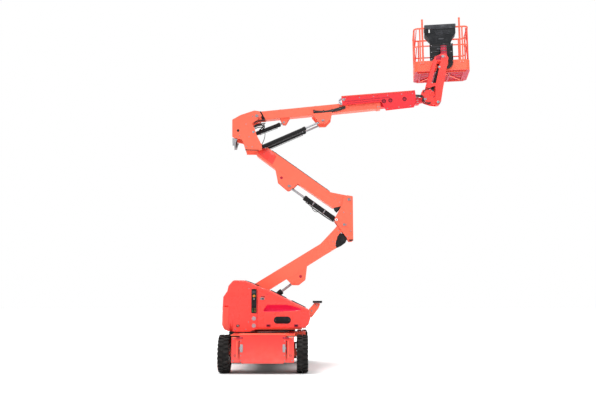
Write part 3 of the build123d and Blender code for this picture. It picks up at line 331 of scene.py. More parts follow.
def lathe(mesh_edit, centre, axis, profile, segments=32, index=0):
    """Revolves (radius, height) pairs about an axis through centre; heights run along the axis."""
    before = set(mesh_edit.faces)
    centre = Vector(centre)
    turn = Vector(UP).rotation_difference(Vector(axis).normalized()).to_matrix()
    rings = []
    for radius, height in profile:
        spots = circle(segments, radius) if radius else [(0, 0)]
        rings.append([mesh_edit.verts.new(centre + turn @ Vector((x, y, height))) for x, y in spots])
    for lower, upper in zip(rings, rings[1:]):
        for step in range(segments):
            following = (step + 1) % segments
            corners = [lower[step % len(lower)], lower[following % len(lower)],
                       upper[following % len(upper)], upper[step % len(upper)]]
            corners = list(dict.fromkeys(corners))
            if len(corners) > 2:
                mesh_edit.faces.new(corners)
    paint_new(mesh_edit, before, index)


def prism(mesh_edit, outline, y_from, y_to, index=0, bevel=0.0):
    """A plate over an outline of (x, z) points, between two values of Y."""
    before = set(mesh_edit.faces)
    lower = [mesh_edit.verts.new((x, y_from, z)) for x, z in outline]
    made = bmesh.ops.extrude_face_region(mesh_edit, geom=[mesh_edit.faces.new(lower)])
    upper = [part for part in made["geom"] if isinstance(part, bmesh.types.BMVert)]
    bmesh.ops.translate(mesh_edit, vec=(0, y_to - y_from, 0), verts=upper)
    if bevel:
        round_edges(mesh_edit, lower + upper, bevel)
    paint_new(mesh_edit, before, index)


def hex_bolt(mesh_edit, centre, axis, size, index=1):
    """A washer and a hexagon head standing on a face; size is the head's radius."""
    washer = [(0, 0), (1.35, 0), (1.35, 0.18), (0, 0.18)]
    head = [(0, 0.18), (1, 0.18), (1, 0.8), (0.86, 0.95), (0, 0.95)]
    for profile, segments in ((washer, 20), (head, 6)):
        lathe(mesh_edit, centre, axis, [(radius * size, height * size) for radius, height in profile],
              segments, index)


def bolts(mesh_edit, centres, axis, size):
    """Bolts of one size that look the same way."""
    for centre in centres:
        hex_bolt(mesh_edit, centre, axis, size)


def face_bolts(mesh_edit, sign, y, spots, size):
    """Bolts at (x, z) spots on a face that looks along Y."""
    bolts(mesh_edit, [(x, y, z) for x, z in spots], (0, sign, 0), size)


def pin_end(mesh_edit, pivot, sign, y, radius):
    """The end of a pivot pin: a stepped head, a grease nipple and a keeper plate with two bolts."""
    centre = across_from(pivot, y)
    axis = (0, sign, 0)
    lathe(mesh_edit, centre, axis, [(0, 10), (0.62 * radius, 10), (0.68 * radius, 13), (0.9 * radius, 13),
                                    (radius, 9), (radius, -2)], 32, 1)
    lathe(mesh_edit, centre, axis, [(0, 22), (4, 22), (5, 14), (7, 10)], 12, 1)
    plate = centre + Vector((1.35 * radius, sign * 4, 0))
    box(mesh_edit, plate, (0.9 * radius, 8, 1.7 * radius), 2)
    bolts(mesh_edit, [plate + Vector((0.1 * radius, sign * 4, shift * radius)) for shift in (-0.5, 0.5)],
          axis, 8)


def flat_disc(mesh_edit, centre, sign, radius, height, index=0):
    """A low round plug or hole mark on a face that looks along Y."""
    lathe(mesh_edit, centre, (0, sign, 0), [(0, height), (0.92 * radius, height), (radius, 0)], 28, index)


def weld_bead(mesh_edit, start, end, radius=4.0, ripple=12.0):
    """A rippled fillet weld between two points; ripple is the length of one wave."""
    start, run = Vector(start), Vector(end) - Vector(start)
    steps = 2 * max(4, int(run.length / ripple))
    profile = [(radius * (1.0 if step % 2 else 0.78), run.length * step / steps) for step in range(steps + 1)]
    lathe(mesh_edit, start, run, [(0, 0)] + profile + [(0, run.length)], 8)


def hose(name, points, radius, body, material=hose_rubber):
    """A smooth hose through control points, as a curve tube riding on a body."""
    curve = bpy.data.curves.new(name, "CURVE")
    curve.dimensions = "3D"
    curve.bevel_depth = radius / 1000
    curve.bevel_resolution = 5
    curve.resolution_u = 14
    curve.use_fill_caps = True
    spline = curve.splines.new("NURBS")
    spline.points.add(len(points) - 1)
    for point, place in zip(spline.points, points):
        point.co = (*(TO_ROW @ Vector(place)), 1)
    spline.order_u = 4 if len(points) > 3 else 3
    spline.use_endpoint_u = True
    curve.materials.append(material)
    piece = bpy.data.objects.new(name, curve)
    bpy.context.scene.collection.objects.link(piece)
    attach(piece, body)


def smooth_step(value, low, high):
    """0 below low, 1 above high, smooth in between."""
    share = min(1.0, max(0.0, (value - low) / (high - low)))
    return share * share * (3 - 2 * share)


def both_sides(half):
    """The two outer faces of a part: (sign, y)."""
    return ((-1, -half), (1, half))


def across_from(point, y):
    """A point moved to another Y."""
    return Vector((point.x, y, point.z))


# ---------------------------------------------------------------- places read from the frame
PIVOT = {joint["name"]: FROM_ROW @ Vector(joint["pos_m"]) for joint in frame["joints"] if "pos_m" in joint}


def eye(name, radius, side_x, side_z):
    """The centre of a rod's eye, from the corner of its box that the eye touches."""
    low, high = extent(name)
    x = high.x - radius if side_x > 0 else low.x + radius
    z = high.z - radius if side_z > 0 else low.z + radius
    return Vector((x, 0, z))


LIFT_EYE = eye("lift_rod", 36, 1, 1)
FOLD_EYE = eye("fold_rod", 36, -1, 1)
BOOM_EYE = eye("boom_rods", 34, 1, 1)
LEVEL_EYE = eye("level_rod", 26, 1, 1)
JIB_EYE = eye("jib_rod", 26, -1, -1)
TWIN_Y = 150
ARM_HALF = 90
BOOM_HALF = 100
BOOM_DIRECTION = Vector(next(joint["axis"] for joint in frame["joints"] if joint["name"] == "telescope"))
BOOM_UP = Vector((-BOOM_DIRECTION.z, 0, BOOM_DIRECTION.x))
BOOM_ZERO = PIVOT["telescope"]
BOOM_TURN = Matrix.Rotation(-atan2(BOOM_DIRECTION.z, BOOM_DIRECTION.x), 3, "Y")


def on_boom(distance, y, height):
    """A point given along the boom, across it and above its centre line."""
    return BOOM_ZERO + BOOM_DIRECTION * distance + BOOM_UP * height + Vector((0, y, 0))


# ---------------------------------------------------------------- wheels
LUGS = 24
TREAD_R = 371.5
LUG_BASE_R = 347
BEAD_R = 200.5


def lug_template():
    """One tread lug as vertices (across, around, radius) and faces, its edges rounded."""
    section = [(8, LUG_BASE_R), (8, TREAD_R), (92, TREAD_R), (112, 352), (112, 306), (100, 300)]
    lug = bmesh.new()
    ends = [[lug.verts.new((across, 0.24 * across + side * (17 + 0.10 * across), radius))
             for across, radius in section] for side in SIDES]
    for step in range(len(section)):
        following = (step + 1) % len(section)
        lug.faces.new([ends[0][step], ends[0][following], ends[1][following], ends[1][step]])
    lug.faces.new(ends[0])
    lug.faces.new(list(reversed(ends[1])))
    bmesh.ops.bevel(lug, geom=lug.edges[:], offset=2.5, segments=1, affect="EDGES", profile=0.5)
    lug.verts.index_update()
    vertices = [vertex.co.copy() for vertex in lug.verts]
    faces = [[vertex.index for vertex in face.verts] for face in lug.faces]
    lug.free()
    return vertices, faces


def build_tyre(corner, lug):
    """A tyre with a ribbed sidewall and two staggered rows of lugs."""
    low, high = extent("tyre_" + corner)
    centre = (low + high) / 2
    tyre = bmesh.new()
    wall = [
        (BEAD_R, 94), (212, 103), (232, 101), (236, 104.5), (262, 108.5), (266, 106),
        (292, 107.5), (318, 107), (336, 99), (LUG_BASE_R, 83), (350, 40),
    ]
    profile = [(radius, -height) for radius, height in wall]
    profile += list(reversed(wall))
    profile.append(profile[0])
    lathe(tyre, centre, (1, 0, 0), profile, 96)
    vertices, faces = lug
    for row in SIDES:
        for step in range(LUGS):
            turn = 2 * pi * (step + (0.5 if row > 0 else 0)) / LUGS
            placed = []
            for across, around, radius in vertices:
                angle = turn + around / TREAD_R
                offset = Vector((row * across, radius * sin(angle), radius * cos(angle)))
                placed.append(tyre.verts.new(centre + offset))
            for face in faces:
                tyre.faces.new([placed[index] for index in face])
    piece = finish_mesh("tread_" + corner, tyre, [tyre_rubber], "wheel_" + corner)
    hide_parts("tyre_" + corner)


def build_hub(corner, side):
    """Nuts, hub cap and pressed rings on the outside of a rim."""
    low, high = extent("rim_" + corner)
    centre = (low + high) / 2
    axis = (side, 0, 0)
    dish = Vector(((high.x if side > 0 else low.x) - side * 63, centre.y, centre.z))
    hub = bmesh.new()
    bolts(hub, [dish + Vector((0, y, z)) for z, y in circle(9, 118)], axis, 14)
    lathe(hub, dish, axis, [(82, 0), (82, 18), (74, 26), (0, 26)], 40)
    lathe(hub, dish, axis, [(48, 26), (48, 46), (42, 52), (0, 53)], 32, 2)
    bolts(hub, [dish + Vector((side * 26, y, z)) for z, y in circle(6, 64, 0.5)], axis, 7)
    for radius in (150, 178):
        lathe(hub, dish, axis, [(radius - 6, 0), (radius, 5), (radius + 6, 0)], 64)
    finish_mesh("hub_" + corner, hub, [rim_paint, zinc, dark_steel], "wheel_" + corner)


# ---------------------------------------------------------------- chassis
RING_TEETH = 96


def build_chassis_trim():
    """End plate lips, slots and tie-down rings, side covers, deck bars, ring teeth and axle caps."""
    trim = bmesh.new()
    low, high = extent("end_plates")
    half = 446
    for side in SIDES:
        bolts(trim, [(side * 575, low.y + 14, level) for level in (262, 680)], NEAR, 9)
        lathe(trim, (side * 540, low.y + 13, 360), NEAR, [(20, -4), (20, 2), (16, 4), (14, -4), (0, -4)],
              28, 3)
        box(trim, (side * 525, low.y + 12, 704), (150, 30, 20), 6, segments=3)
        box(trim, (side * 505, low.y + 12, 480), (16, 8, 330))
    for sign, face_y in both_sides(high.y):
        box(trim, (0, face_y - sign * 12, high.z - 4), (2 * half - 4, 40, 22), 9, segments=4)
        for side in SIDES:
            box(trim, (side * 452, face_y, high.z - 72), (130, 6, 30), 2, 2)
            box(trim, (side * (half - 4), face_y - sign * 35, 500), (10, 60, 460))
            lathe(trim, (side * 420, face_y, 500), (0, sign, 0),
                  [(16.2, -12), (16.2, 6), (21, 10), (33, 10), (37, 5), (38, 0)], 36, 1)
            box(trim, (side * 414, face_y + sign * 4, 500), (52, 14, 150), 6, 4, segments=3)
            face_bolts(trim, sign, face_y, [(side * (half - 20), level) for level in (270, 360, 640, 700)], 7)
        weld_y = face_y - sign * 14
        weld_bead(trim, (50 - half, weld_y, 302), (half - 50, weld_y, 302), ripple=12.1)
    # covers between the wheels, with louvres and a latch
    for side in SIDES:
        for cover_y in (-300, 340):
            box(trim, (side * 406, cover_y, 520), (12, 560, 330), 6, segments=3)
            for level in range(6):
                box(trim, (side * 413, cover_y, 430 + 30 * level), (8, 300, 10), index=2)
            corners = [(side * 412, cover_y + y, z) for y in (-250, 250) for z in (380, 660)]
            bolts(trim, corners, (side, 0, 0), 8)
            box(trim, (side * 416, cover_y, 640), (14, 70, 22), 4, 1)
    # deck: raised anti-slip bars and bolts
    deck_top = extent("deck")[1].z
    for side in SIDES:
        for row in range(9):
            box(trim, (side * 555, 190 * row - 1240, deck_top + 2), (110, 20, 5), 2, 2)
        bolts(trim, [(side * 420, 500 * row - 1280, deck_top) for row in range(6)], UP, 9)
    tooth = Vector((484, 0, extent("slew_ring")[0].z + 12))
    for step in range(RING_TEETH):
        turn = Matrix.Rotation(2 * pi * step / RING_TEETH, 3, "Z")
        box(trim, turn @ tooth, (14, 16, 18), 2, 3, turn, 1)
    for sign in SIDES:
        for side in SIDES:
            face_bolts(trim, sign, sign * 142 - 1000, [(side * 500, level) for level in (330, 540)], 11)
            lathe(trim, (side * 500, sign * 140 - 1000, 440), (0, sign, 0),
                  [(70, 0), (70, 8), (60, 14), (24, 14), (20, 20), (0, 20)], 40, 3)
    looks = [orange, zinc, shade_red, dark_steel, grey_paint]
    finish_mesh("chassis_trim", trim, looks, "chassis")
    # hoses that pass from the deck up into the turret
    for number in range(4):
        shift = 35 * number
        run = [(shift - 550, -620, 12), (-480, -660, 16), (-360, -640, 20), (shift - 240, -560, 18),
               (-200, -460, 14)]
        hose("deck_hose_%d" % number, [(x, y + shift, deck_top + rise) for x, y, rise in run], 10, "chassis",
             hose_rubber if number % 2 else grey_plastic)
    motor_run = [(405, -800, 600), (460, -780, 620), (530, -800, 600), (560, -840, 530), (560, -862, 470)]
    steer_run = [(130, 810, 262), (160, 860, 280), (200, 930, 292), (260, 1020, 296), (300, 1100, 299)]
    for hand, side in (("left", -1), ("right", 1)):
        hose("motor_hose_" + hand, [(side * x, y, z) for x, y, z in motor_run], 9, "chassis")
        hose("steering_hose_" + hand, [(side * x, y, z) for x, y, z in steer_run], 7, "chassis")


def build_step():
    """Grip studs on the step, ribs on its rubber nosing and side bolts."""
    grip = bmesh.new()
    low, high = extent("side_step")
    for row in range(9):
        for column in range(4):
            lathe(grip, (low.x + 300 + 42 * column, 55 * row - 220, high.z), UP,
                  [(13, 0), (12, 3), (8, 4), (0, 2)], 16)
    nose_low, nose_high = extent("step_nosing")
    for row in range(12):
        box(grip, (nose_high.x - 4, 44.5 * row - 245, nose_low.z + 45), (10, 14, 70), index=2)
    for side in SIDES:
        bolts(grip, [(high.x - inset, side * 281, high.z - 40) for inset in (60, 150)], (0, side, 0), 9)
    finish_mesh("step_grip", grip, [orange, zinc, black_rubber], "chassis")


# ---------------------------------------------------------------- turret hoods
SKIN_Y = 600


def cut_skin(shell, axis, level, other, low, high):
    """Cuts the outer skin at one level of an axis, where it lies between low and high on the other axis."""
    touched = []
    for face in shell.faces:
        along = [vertex.co[axis] for vertex in face.verts]
        across = [vertex.co[other] for vertex in face.verts]
        crossed = min(along) < level - 0.001 and max(along) > level + 0.001
        within = max(across) >= low and min(across) <= high
        if crossed and within and abs(face.calc_center_median().y) > SKIN_Y:
            touched.append(face)
    if touched:
        geometry = touched + list({edge for face in touched for edge in face.edges})
        geometry += list({vertex for face in touched for vertex in face.verts})
        place, normal = [0, 0, 0], [0, 0, 0]
        place[axis], normal[axis] = level, 1
        bmesh.ops.bisect_plane(shell, geom=geometry, plane_co=place, plane_no=normal, dist=0.001)


def dented(name, body, span, depth_at, inset_at=None):
    """A copy of a hood whose outer skin is cut finely over a span and pushed in by depth_at.

    The span is (x from, x to, z from, z to, step).  Faces deeper than inset_at get the second paint, a darker
    crimson that is painted shade in the recess.
    """
    shell = bmesh.new()
    shell.from_mesh(nodes[name].data)
    shell.transform(FROM_ROW)
    bmesh.ops.remove_doubles(shell, verts=shell.verts, dist=0.01)
    x_from, x_to, z_from, z_to, step = span
    for number in range(int((x_to - x_from) / step) + 2):
        cut_skin(shell, 0, x_from + step * number, 2, z_from - step, z_to + step)
    for number in range(int((z_to - z_from) / step) + 2):
        cut_skin(shell, 2, z_from + step * number, 0, x_from - step, x_to + step)
    for vertex in shell.verts:
        if abs(vertex.co.y) > SKIN_Y:
            share = smooth_step(abs(vertex.co.y), SKIN_Y, 700)
            vertex.co.y -= copysign(depth_at(vertex.co.x, vertex.co.z) * share, vertex.co.y)
    # faces deep in the recess take the darker crimson, painted shade
    for face in shell.faces:
        centre = face.calc_center_median()
        deep = inset_at and abs(centre.y) > SKIN_Y and depth_at(centre.x, centre.z) > inset_at
        face.material_index = 1 if deep else 0
    piece = finish_mesh("shell_" + name, shell, [hood_orange, pocket_shade_red], body)
    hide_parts(name)


def pocket_depth(x, z):
    """The long recess under the sloping edge of a side hood: deepest at its lower lip."""
    slope_top = 1375 - 100 * smooth_step(x, 350, 850)
    lower_lip = 1205 + 20 * smooth_step(x, 200, 800)
    if z > slope_top or z < lower_lip - 20:
        return 0.0
    start = 0.5 * (z - 1200)
    along = smooth_step(x, start - 50, start + 20) * (1 - smooth_step(x, 450, 860))
    inward = smooth_step(slope_top - z, 0, slope_top - lower_lip - 10)
    return 50 * along * inward * smooth_step(z, lower_lip - 20, lower_lip)


def crown_depth(x, z):
    """The rear hood leans in towards the top of the hump and at the tail, with a crease between them."""
    top = 38 * smooth_step(z, 1500, 1800) * smooth_step(-x, 300, 550)
    rear = 30 * smooth_step(-x, 720, 870)
    crease = 7 * exp(-((z - 1300) / 10) ** 2) * smooth_step(-x, 550, 720)
    return top + rear + crease


def build_hoods():
    """The four shaped hood shells."""
    for hand, _ in HANDS:
        dented("side_hood_" + hand, "side_hood_" + hand, (-120, 900, 1160, 1400, 14), pocket_depth, 9)
        dented("rear_hood_" + hand, "turret", (-880, -290, 1220, 1840, 30), crown_depth)


# ---------------------------------------------------------------- turret trim
def stadium(centre_x, centre_z, length, height, steps=10):
    """The (x, z) outline of a plate with round ends."""
    radius = height / 2
    points = []
    for side, start in ((1, -90), (-1, 90)):
        for step in range(steps + 1):
            angle = radians(start + 180 * step / steps)
            points.append((centre_x + side * (length / 2 - radius) + radius * cos(angle),
                           centre_z + radius * sin(angle)))
    return points


def build_hood_trim(hand, sign, outer):
    """Blank oval plate, latch and drains of a side hood; fittings and seams of the rear hood."""
    axis = (0, sign, 0)
    trim = bmesh.new()
    prism(trim, stadium(365, 1018, 350, 142), outer - sign * 4, outer + sign * 6, 0, 2)
    prism(trim, stadium(365, 1018, 318, 110), outer, outer + sign * 7.5, 0, 1)
    face_bolts(trim, sign, outer + sign * 6, [(227, 1018), (503, 1018)], 6)
    for x in (80, 650):
        box(trim, (x, outer - sign, 905), (88, 8, 58), 6, 2, segments=3)
        box(trim, (x, outer + sign * 3, 908), (56, 4, 26))
    # slam latch with its dark finger slot above
    box(trim, (-50, outer, 1452), (90, 14, 46), 8, 1, segments=4)
    box(trim, (-38, outer + sign * 7, 1452), (40, 8, 26), 4)
    lathe(trim, (-78, outer + sign * 7, 1452), axis, [(9, 0), (9, 3), (0, 3)], 20, 3)
    box(trim, (-40, outer - sign * 2, 1492), (82, 6, 16))
    box(trim, (45, outer - sign * 2, 1548), (55, 6, 12), index=2)
    finish_mesh("side_hood_trim_" + hand, trim, [black_plastic, zinc, shade_red, dark_steel],
                "side_hood_" + hand)
    # drain and key fitting low on the rear hood, seam strips beside the panel post
    tail = bmesh.new()
    box(tail, (-545, outer, 900), (60, 10, 50), 4)
    lathe(tail, (-545, outer + sign * 5, 905), axis, [(16, 0), (16, 6), (10, 9), (4, 4), (0, 4)], 24, 1)
    lathe(tail, (-528, outer + sign * 5, 885), axis, [(6, 0), (5, 4), (0, 5)], 16, 2)
    face_bolts(tail, sign, outer, [(-600, 835), (-380, 832), (-330, 1660), (-330, 980)], 8)
    for x in (-285, -157):
        box(tail, (x, outer - sign * 3, 1235), (5, 5, 780), 1, 3)
    finish_mesh("rear_hood_trim_" + hand, tail, [black_plastic, zinc, yellow_plastic, shade_red], "turret")


def build_turret_trim():
    """Trim of the hoods on both sides, the skirt, the hoods' seals and the counterweight's marks."""
    skin = extent("side_hood_far")[1].y + 2
    seals = [
        ("turret", 0, [(-460, 1834), (-380, 1818), (-290, 1779), (-162, 1722)]),
        ("side_hood", 0, [(100, 1628), (250, 1556), (430, 1468)]),
        ("side_hood", 1, [(550, 1410), (700, 1337), (850, 1264)]),
    ]
    for hand, sign in HANDS:
        build_hood_trim(hand, sign, sign * skin)
    skirt = bmesh.new()
    for side in SIDES:
        box(skirt, (215, side * 655, 818), (830, 12, 42), 4)
        for step in range(9):
            box(skirt, (90 * step - 150, side * 662, 818), (10, 8, 40), 2)
    finish_mesh("turret_skirt", skirt, [black_rubber], "turret")
    for hand, sign in HANDS:
        for owner, number, run in seals:
            hose("edge_seal_%s_%s_%d" % (owner, hand, number), [(x, sign * 131, z) for x, z in run], 11.5,
                 owner if owner == "turret" else "side_hood_" + hand, black_rubber)
    weight_x = extent("counterweight")[0].x
    tail = bmesh.new()
    for side in SIDES:
        lathe(tail, (weight_x + 3, side * 500, 1050), (-1, 0, 0),
              [(34, -20), (34, 1), (24, 1), (18, -18), (0, -18)])
        box(tail, (weight_x + 1, side * 360, 1180), (8, 170, 55), 3, 1)
    box(tail, (weight_x + 2, 0, 980), (8, 1150, 10))
    finish_mesh("counterweight_trim", tail, [cast_orange, red_plastic], "turret")


def build_control_panel():
    """The ground control strip on the near post: screen, stop button, key, switches, lamps, two vents."""
    low, high = extent("control_panel")
    x = (low.x + high.x) / 2
    face_y = low.y + 2
    foot = 1160
    top = 1650
    middle = (foot + top) / 2
    panel = bmesh.new()
    box(panel, (x, face_y + 5, middle), (104, 10, top - foot), 4)
    box(panel, (x, face_y - 0.5, middle), (100, 3, top - foot - 20), 2)
    box(panel, (x, face_y - 2, top - 62), (66, 4, 52), 3, 1)
    stop = (x, face_y - 1, top - 142)
    lathe(panel, stop, NEAR, [(26, 0), (26, 2), (13, 2)], 32, 2)
    lathe(panel, stop, NEAR, [(9, 2), (9, 10), (18.5, 13), (18.5, 18), (14, 22), (0, 23)], 32, 3)
    lathe(panel, (x, face_y - 1, top - 205), NEAR, [(14, 0), (14, 4), (9, 7), (0, 7)], 24, 4)
    box(panel, (x, face_y - 9, top - 205), (3, 4, 12), 0.5)
    for side, lamp_index in ((-1, 5), (1, 2)):
        for row in range(4):
            lathe(panel, (x + side * 21, face_y - 1, top - 255 - 40 * row), NEAR,
                  [(10, 0), (9, 4), (5, 7), (4, 16), (0, 17)], 16)
        for row in range(3):
            lathe(panel, (x + side * 22, face_y - 1, foot + 30 + 30 * row), NEAR,
                  [(6.5, 0), (6, 2), (3, 4), (0, 4.5)], 16, lamp_index)
    vent = [(42, -10), (42, 8), (37, 10), (33, 6), (30, 9), (26, 5), (22, 9), (18, 5), (14, 9), (10, 5),
            (0, 6)]
    for level in (1050, 905):
        lathe(panel, (x, low.y + 10, level), NEAR, vent, 40, 6)
    looks = [black_plastic, case_plastic, yellow_plastic, red_plastic, zinc, green_lamp, grey_plastic]
    piece = finish_mesh("ground_controls", panel, looks, "turret")
    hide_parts("control_panel")


def build_rest_and_batteries():
    """Bolts and gussets on the boom rest; lids, caps and cables on the battery packs."""
    rest = bmesh.new()
    low, high = extent("rest_pad")
    middle_x = (low.x + high.x) / 2
    gusset = [(880, 1075), (985, 1050), (1130, 1245), (1170, 1345), (1060, 1345)]
    for side in SIDES:
        bolts(rest, [(middle_x + shift, side * 62, low.z) for shift in (-55, 55)], (0, 0, -1), 10)
        prism(rest, gusset, side * 45.5, side * 53, 0, 2)
        face_bolts(rest, side, side * 53, [(1095, 1310), (985, 1190)], 12)
        weld_bead(rest, (868, side * 47, 1040), (868, side * 47, 1150), 5)
    box(rest, (middle_x, 0, low.z - 4), (180, 160, 10), 2, 2)
    finish_mesh("boom_rest_trim", rest, [orange, zinc, grey_paint], "turret")
    cells = bmesh.new()
    top = extent("battery_packs")[1].z
    for hand, side in HANDS:
        box(cells, (200, side * 410, top + 6), (620, 420, 12), 4)
        for column in range(6):
            for row in range(4):
                lathe(cells, (104 * column - 60, side * (260 + 100 * row), top + 12), UP,
                      [(16, 0), (15, 12), (12, 14), (0, 14)], 14, 1 if (column + row) % 2 else 2)
        for edge in SIDES:
            box(cells, (200, side * 410 + edge * 221, top - 50), (600, 6, 30), 2, 2)
        for number in range(3):
            run = [(-20, 300, 24), (30, 340, 55), (80, 420, 55), (120, 480, 24)]
            hose("battery_cable_%s_%d" % (hand, number),
                 [(x + 200 * number, side * y, top + rise) for x, y, rise in run], 7, "turret",
                 red_plastic if number % 2 else hose_rubber)
    finish_mesh("battery_lids", cells, [case_plastic, red_plastic, black_plastic], "turret")


# ---------------------------------------------------------------- cylinders
def dress_cylinder(name, body, base, tip, barrel_r, gland_at, line_side, bands):
    """Gland nut, base collar, ports and hard line along a cylinder's barrel, with clamp bands if asked."""
    direction = (tip - base).normalized()
    across = Y_AXIS.cross(direction).normalized()
    dress = bmesh.new()

    def on(distance, outward=0.0):
        return base + direction * distance + across * outward

    def collar(distance, rises, index=0):
        lathe(dress, on(distance), direction, [(barrel_r + rise, along) for rise, along in rises], 40, index)

    collar(gland_at - 60, [(0.5, 0), (6, 4), (6, 40), (2, 46), (2, 56), (-4, 60.5)])
    for step in range(6):
        spin = Matrix.Rotation(pi * step / 3, 3, direction)
        hex_bolt(dress, on(gland_at) + spin @ (across * (barrel_r * 0.72)), direction, 5.5)
    collar(85, [(0.5, 0), (5, 3), (5, 22), (0.5, 26)])
    for distance in (125, gland_at - 95):
        lathe(dress, on(distance, line_side * barrel_r * 0.96), across * line_side,
              [(14, 0), (14, 12), (10, 14), (10, 24), (0, 24)], 6, 1)
    line = gland_at - 220
    lathe(dress, on(125, line_side * (barrel_r + 14)), direction,
          [(0, 0), (6, 0), (6, line), (0, line)], 12, 2)
    if bands:
        for share in (0.36, 0.70):
            collar(gland_at * share, [(0.5, 0), (4, 2), (4, 20), (0.5, 22)], 1)
            box(dress, on(gland_at * share + 11, line_side * (barrel_r + 10)), (24, 30, 24), 4, 2)
    finish_mesh(name, dress, [black_paint, zinc, dark_steel], body)


def dress_rod_eye(name, body, centre, radius, half, ys=(0,)):
    """Worn steel rings on the faces of a rod's eye."""
    dress = bmesh.new()
    inner = 0.50 * radius
    for y in ys:
        for side in SIDES:
            lathe(dress, across_from(centre, y + side * half), (0, side, 0),
                  [(inner, -1), (inner, 1.5), (radius * 0.86, 1.5), (radius * 0.92, -1)])
    finish_mesh(name, dress, [dark_steel], body)


def build_cylinders():
    """Dress for the six hydraulic cylinders and the hoses of the fold cylinder."""
    for name, tip, barrel_r, gland_at, line_side, bands in (
            ("lift", LIFT_EYE, 55, 860, 1, True), ("fold", FOLD_EYE, 55, 870, -1, True),
            ("level", LEVEL_EYE, 44, 635, 1, False), ("jib", JIB_EYE, 34, 560, 1, False)):
        barrel = name + "_barrel"
        dress_cylinder(name + "_cylinder_trim", barrel, PIVOT[barrel + "_swing"], tip, barrel_r, gland_at,
                       line_side, bands)
    for hand, sign in HANDS:
        shift = Vector((0, sign * TWIN_Y, 0))
        dress_cylinder("boom_cylinder_trim_" + hand, "boom_barrels", PIVOT["boom_barrels_swing"] + shift,
                       BOOM_EYE + shift, 42, 1130, 1, False)
    dress_rod_eye("lift_eye_trim", "lift_rod", LIFT_EYE, 36, 40)
    dress_rod_eye("fold_eye_trim", "fold_rod", FOLD_EYE, 36, 40)
    dress_rod_eye("boom_eye_trim", "boom_rods", BOOM_EYE, 34, 20, (-TWIN_Y, TWIN_Y))
    base = PIVOT["fold_barrel_swing"]
    direction = (FOLD_EYE - base).normalized()
    under = direction.cross(Y_AXIS).normalized()
    loop = [(620, 50), (600, 85), (545, 125), (460, 120), (430, 80), (450, 58)]
    hose("fold_hose_loop", [base + direction * distance + under * drop + Vector((0, -30, 0))
                            for distance, drop in loop], 6.5, "fold_barrel")
    run = [(740, 52, 20), (660, 78, 20), (450, 80, 10), (250, 82, 0), (100, 75, 0), (20, 60, 0)]
    hose("fold_hose_run", [base + direction * distance + under * drop + Vector((0, y, 0))
                           for distance, drop, y in run], 8, "fold_barrel")


# ---------------------------------------------------------------- riser arms and knuckles
def build_guard(arm, outline, half, bevel, first_rib, rib_rise, ribs, rib_size):
    """The black rubber guard at the fold end of an arm, with ribs across it."""
    guard = bmesh.new()
    prism(guard, outline, -half, half, 0, bevel)
    for row in range(ribs):
        box(guard, (first_rib[0] + 30 * row, 0, first_rib[1] + rib_rise * row), rib_size, 4)
    finish_mesh(arm + "_guard", guard, [black_rubber], arm)


def build_lower_arm():
    """Weld seams, pin heads, a plug and the guard of the lower arm."""
    trim = bmesh.new()
    for sign, y in both_sides(ARM_HALF):
        weld_bead(trim, (1310, y, 2758), (1408, y, 2486), 4.2)
        weld_bead(trim, (470, y, 1886), (845, y, 2120), 3.6)
        flat_disc(trim, across_from(LIFT_EYE, y), sign, 34, 3)
        flat_disc(trim, across_from(LIFT_EYE, y), sign, 22, 5, 1)
        flat_disc(trim, (745, y, 1930), sign, 32, 2, 2)
        face_bolts(trim, sign, y, [(1455, 2690), (1505, 2610), (1575, 2930)], 8)
    finish_mesh("lower_arm_trim", trim, [orange, zinc, shade_red], "lower_arm")
    outline = [(1505, 2580), (1541, 2556), (1640, 2602), (1728, 2666), (1768, 2757), (1690, 2862),
               (1600, 2875), (1545, 2800)]
    build_guard("lower_arm", outline, 91, 8, (1560, 2600), 19, 5, (10, 150, 10))


def build_middle_knuckle():
    """Pin heads, bolts, edge guard and hoses of the middle knuckle."""
    plate = extent("middle_knuckle")[1].y - 5
    trim = bmesh.new()
    for sign, y in both_sides(plate):
        pin_end(trim, PIVOT["middle_knuckle_level"], sign, y + sign * 5, 30)
        pin_end(trim, PIVOT["upper_arm_lift"], sign, y + sign * 5, 30)
        flat_disc(trim, across_from(PIVOT["fold_barrel_swing"], y + sign * 5), sign, 30, 6, 3)
        hex_bolt(trim, across_from(PIVOT["fold_barrel_swing"], y + sign * 11), (0, sign, 0), 11)
        face_bolts(trim, sign, y, [(1695, 3333), (1761, 2796), (1845, 3300), (1846, 2920)], 10)
        prism(trim, [(1812, 2700), (1888, 2708), (1892, 2735), (1790, 2728)], y - sign, y + sign * 6, 2, 2)
    for level in (2980, 3460):
        box(trim, (1880, 0, level), (12, 2 * plate - 34, 100))
    finish_mesh("middle_knuckle_trim", trim, [orange, zinc, black_rubber, white_plastic], "middle_knuckle")
    run = [(1858, 2930), (1850, 3000), (1842, 3120), (1842, 3260), (1850, 3380), (1858, 3450)]
    for number in range(3):
        hose("middle_hose_%d" % number, [(x, 45 * number - 45, z) for x, z in run], 11, "middle_knuckle")


